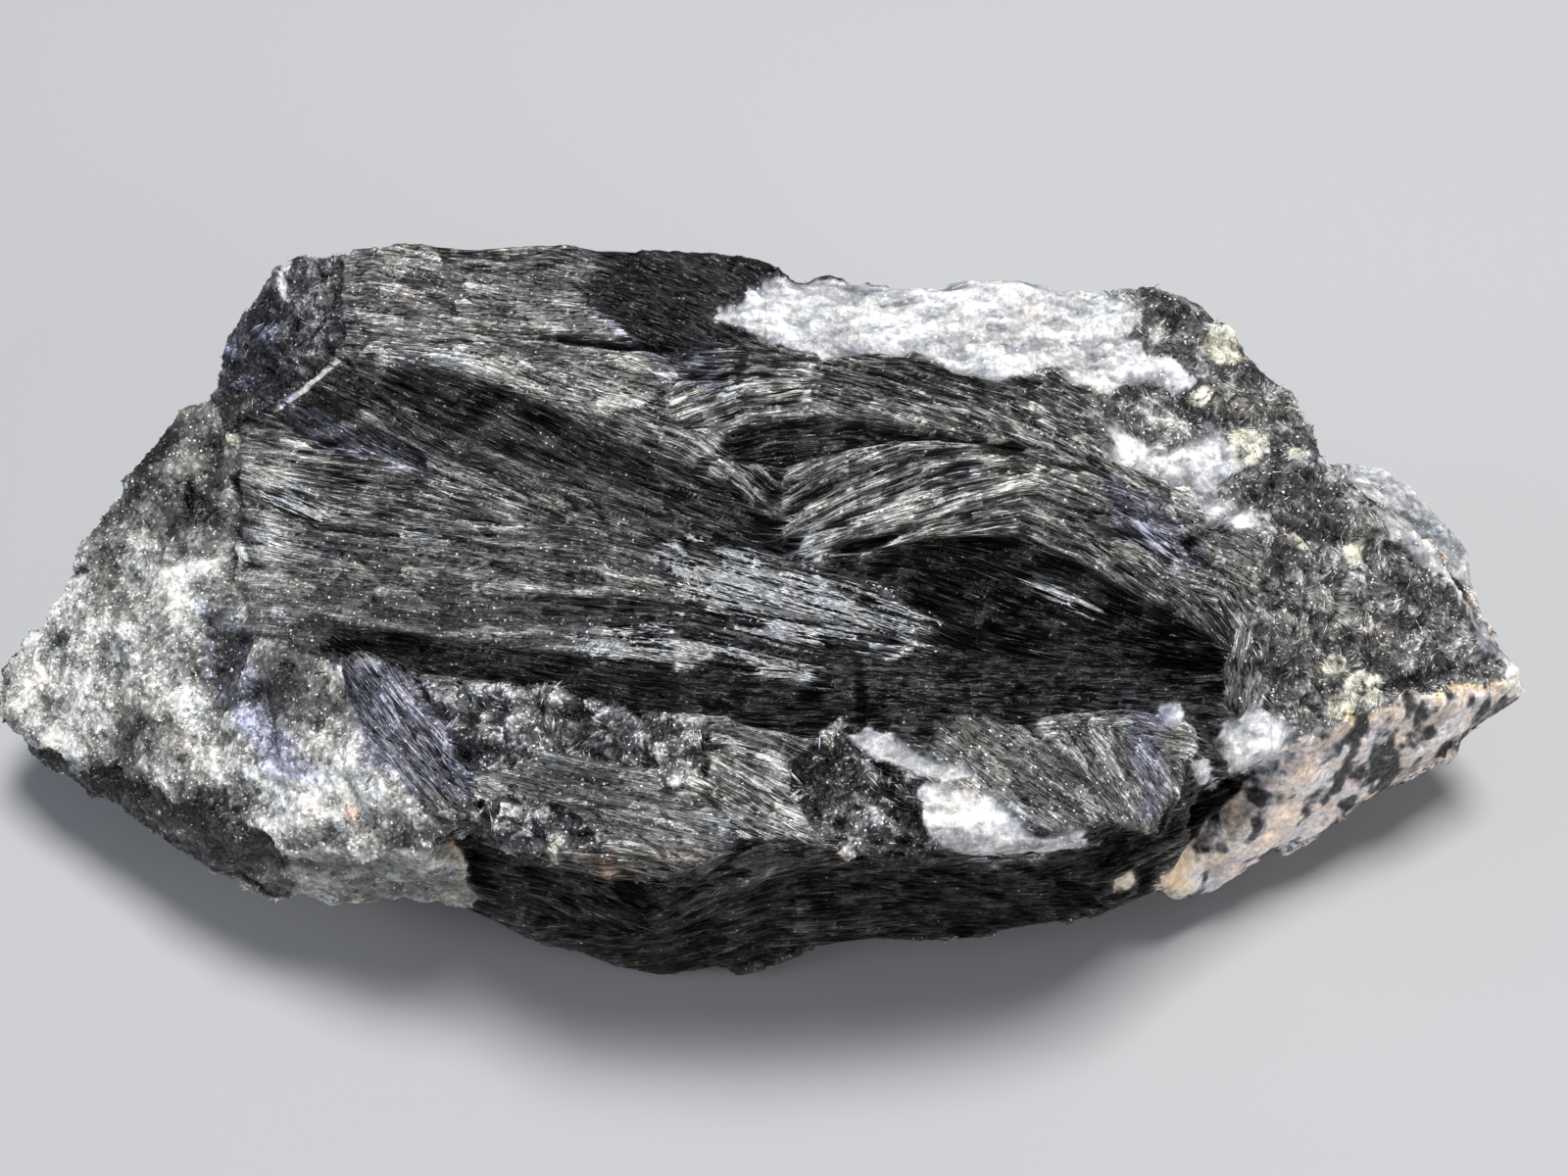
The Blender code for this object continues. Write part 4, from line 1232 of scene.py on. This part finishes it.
fibre_silk = loose_material("fibre_silk", gloss_start=0.18, gloss_range=0.35)
bare = edged(striped, 0.4, 0.8) * (1 - 0.95 * (painted_reflection > 0.4))
left = held((VIEW_WIDTH / 2 - places[:, 0]) / 8)  # 1 in the left half of the view, and 0 in the right half
clear_of_foot = points[:, 2] > 0.6 * MM
lay_slivers("fibres_left", 36000, bare * facing * left, seed=11, long=0.42, wide=0.045)
lay_slivers("fibres_right", 36000, bare * facing * (1 - left), seed=12, long=0.42, wide=0.045)
lay_slivers("fibres_behind", 34000, bare * (1 - facing) * clear_of_foot, seed=14, long=0.7, wide=0.065)
lay_slivers("silver_flakes", 12000, painted_reflection, seed=15, long=0.22, wide=0.085, flakes=True)

# ---- The grains --------------------------------------------------------------------------------------------
# Sugary marble is a crowd of calcite grains, 0.4 mm across, with flat faces that flash. The wing and the
# knuckles are matted: dark grains of borate and magnetite, 0.2 mm across, and blades 0.7 mm long in sprays.

GRAIN_CORNERS = np.array([(1, 0, 0), (-1, 0, 0), (0, 1, 0), (0, -1, 0), (0, 0, 1), (0, 0, -1)], float) / 2
GRAIN_FACES = [
    (a, b, c) if (a + b + c) % 2 == 0 else (a, c, b) for a in (0, 1) for b in (2, 3) for c in (4, 5)
]


BLADE_RISE, BLADE_SCATTER = 0.12, 0.15  # how far blades stand off the skin, and stray from their spray


def strew_grains(name, count, density, seed, size, sunk, flashing, stops, slender=1.0):
    """Strews eight-sided grains over the skin, that many mm in size and sunk by that share of it. flashing is
    the share that catch the light and are made lighter as a painted glint, slender draws them out into blades
    along the skin, and stops is how much their lightness varies."""
    random = np.random.default_rng(seed)
    owner, spots = pick_spots(count, density, random)
    axes = np.linalg.qr(random.normal(0, 1, (count, 3, 3)))[0]
    if slender > 1:
        up = outward[owner]
        ahead = spray[owner] + BLADE_SCATTER * np.cross(up, spray[owner]) * random.normal(0, 1, (count, 1))
        ahead += up * (BLADE_RISE + BLADE_SCATTER * random.normal(0, 1, (count, 1)))
        axes = np.linalg.qr(np.stack([ahead, up, np.cross(up, ahead)], 2))[0]
    axes *= np.sign(np.linalg.det(axes))[:, None, None]
    breadth = size * random.lognormal(0, SIZE_SPREAD, (count, 3)) * MM
    breadth[:, 0] *= slender
    bent = GRAIN_CORNERS[None] * random.uniform(0.75, 1.25, (count, 6, 1))
    corners = np.einsum("nvk,nk,nxk->nvx", bent, breadth, axes)
    centres = spots - outward[owner] * (sunk * breadth[:, 1:].mean(axis=1))[:, None]
    flash = random.random(count) < flashing
    varied = lightness[owner] * 2.0 ** random.normal(0, stops, count) + random.normal(0, 0.05, count)
    # Blades take their spray's painted sheen.
    if slender > 1:
        varied *= 2.0 ** (0.9 * sheen[owner])
    values = {
        "lightness": varied + GLINT_PAINT * flash,
        "tint": tint[owner] * (1 + random.normal(0, 0.03, count)[:, None] * WARMER),
        "gloss": random.random(count) * np.where(flash, 0.2, 1.0),
    }
    one_mesh(name, centres[:, None] + corners, GRAIN_FACES, values, grain_sugar)


grain_sugar = loose_material("grain_sugar", gloss_start=0.12, gloss_range=0.50)
sugary = zones["marble"] - 0.7 * massive + 0.6 * zones["left_rim"] + 0.4 * zones["grey_side"]
tangled, sprayed = matted * tangle, matted * (1.1 - tangle)
strew_grains("marble_grains", 18000, sugary, 21, size=0.40, sunk=0.3, flashing=0.07, stops=0.3)
strew_grains("dark_grains", 14000, tangled, 22, size=0.20, sunk=0.2, flashing=0.10, stops=0.7)
strew_grains(
    "dark_blades", 24000, sprayed, 23, size=0.06, sunk=0.1, flashing=0.08, stops=0.7, slender=12
)
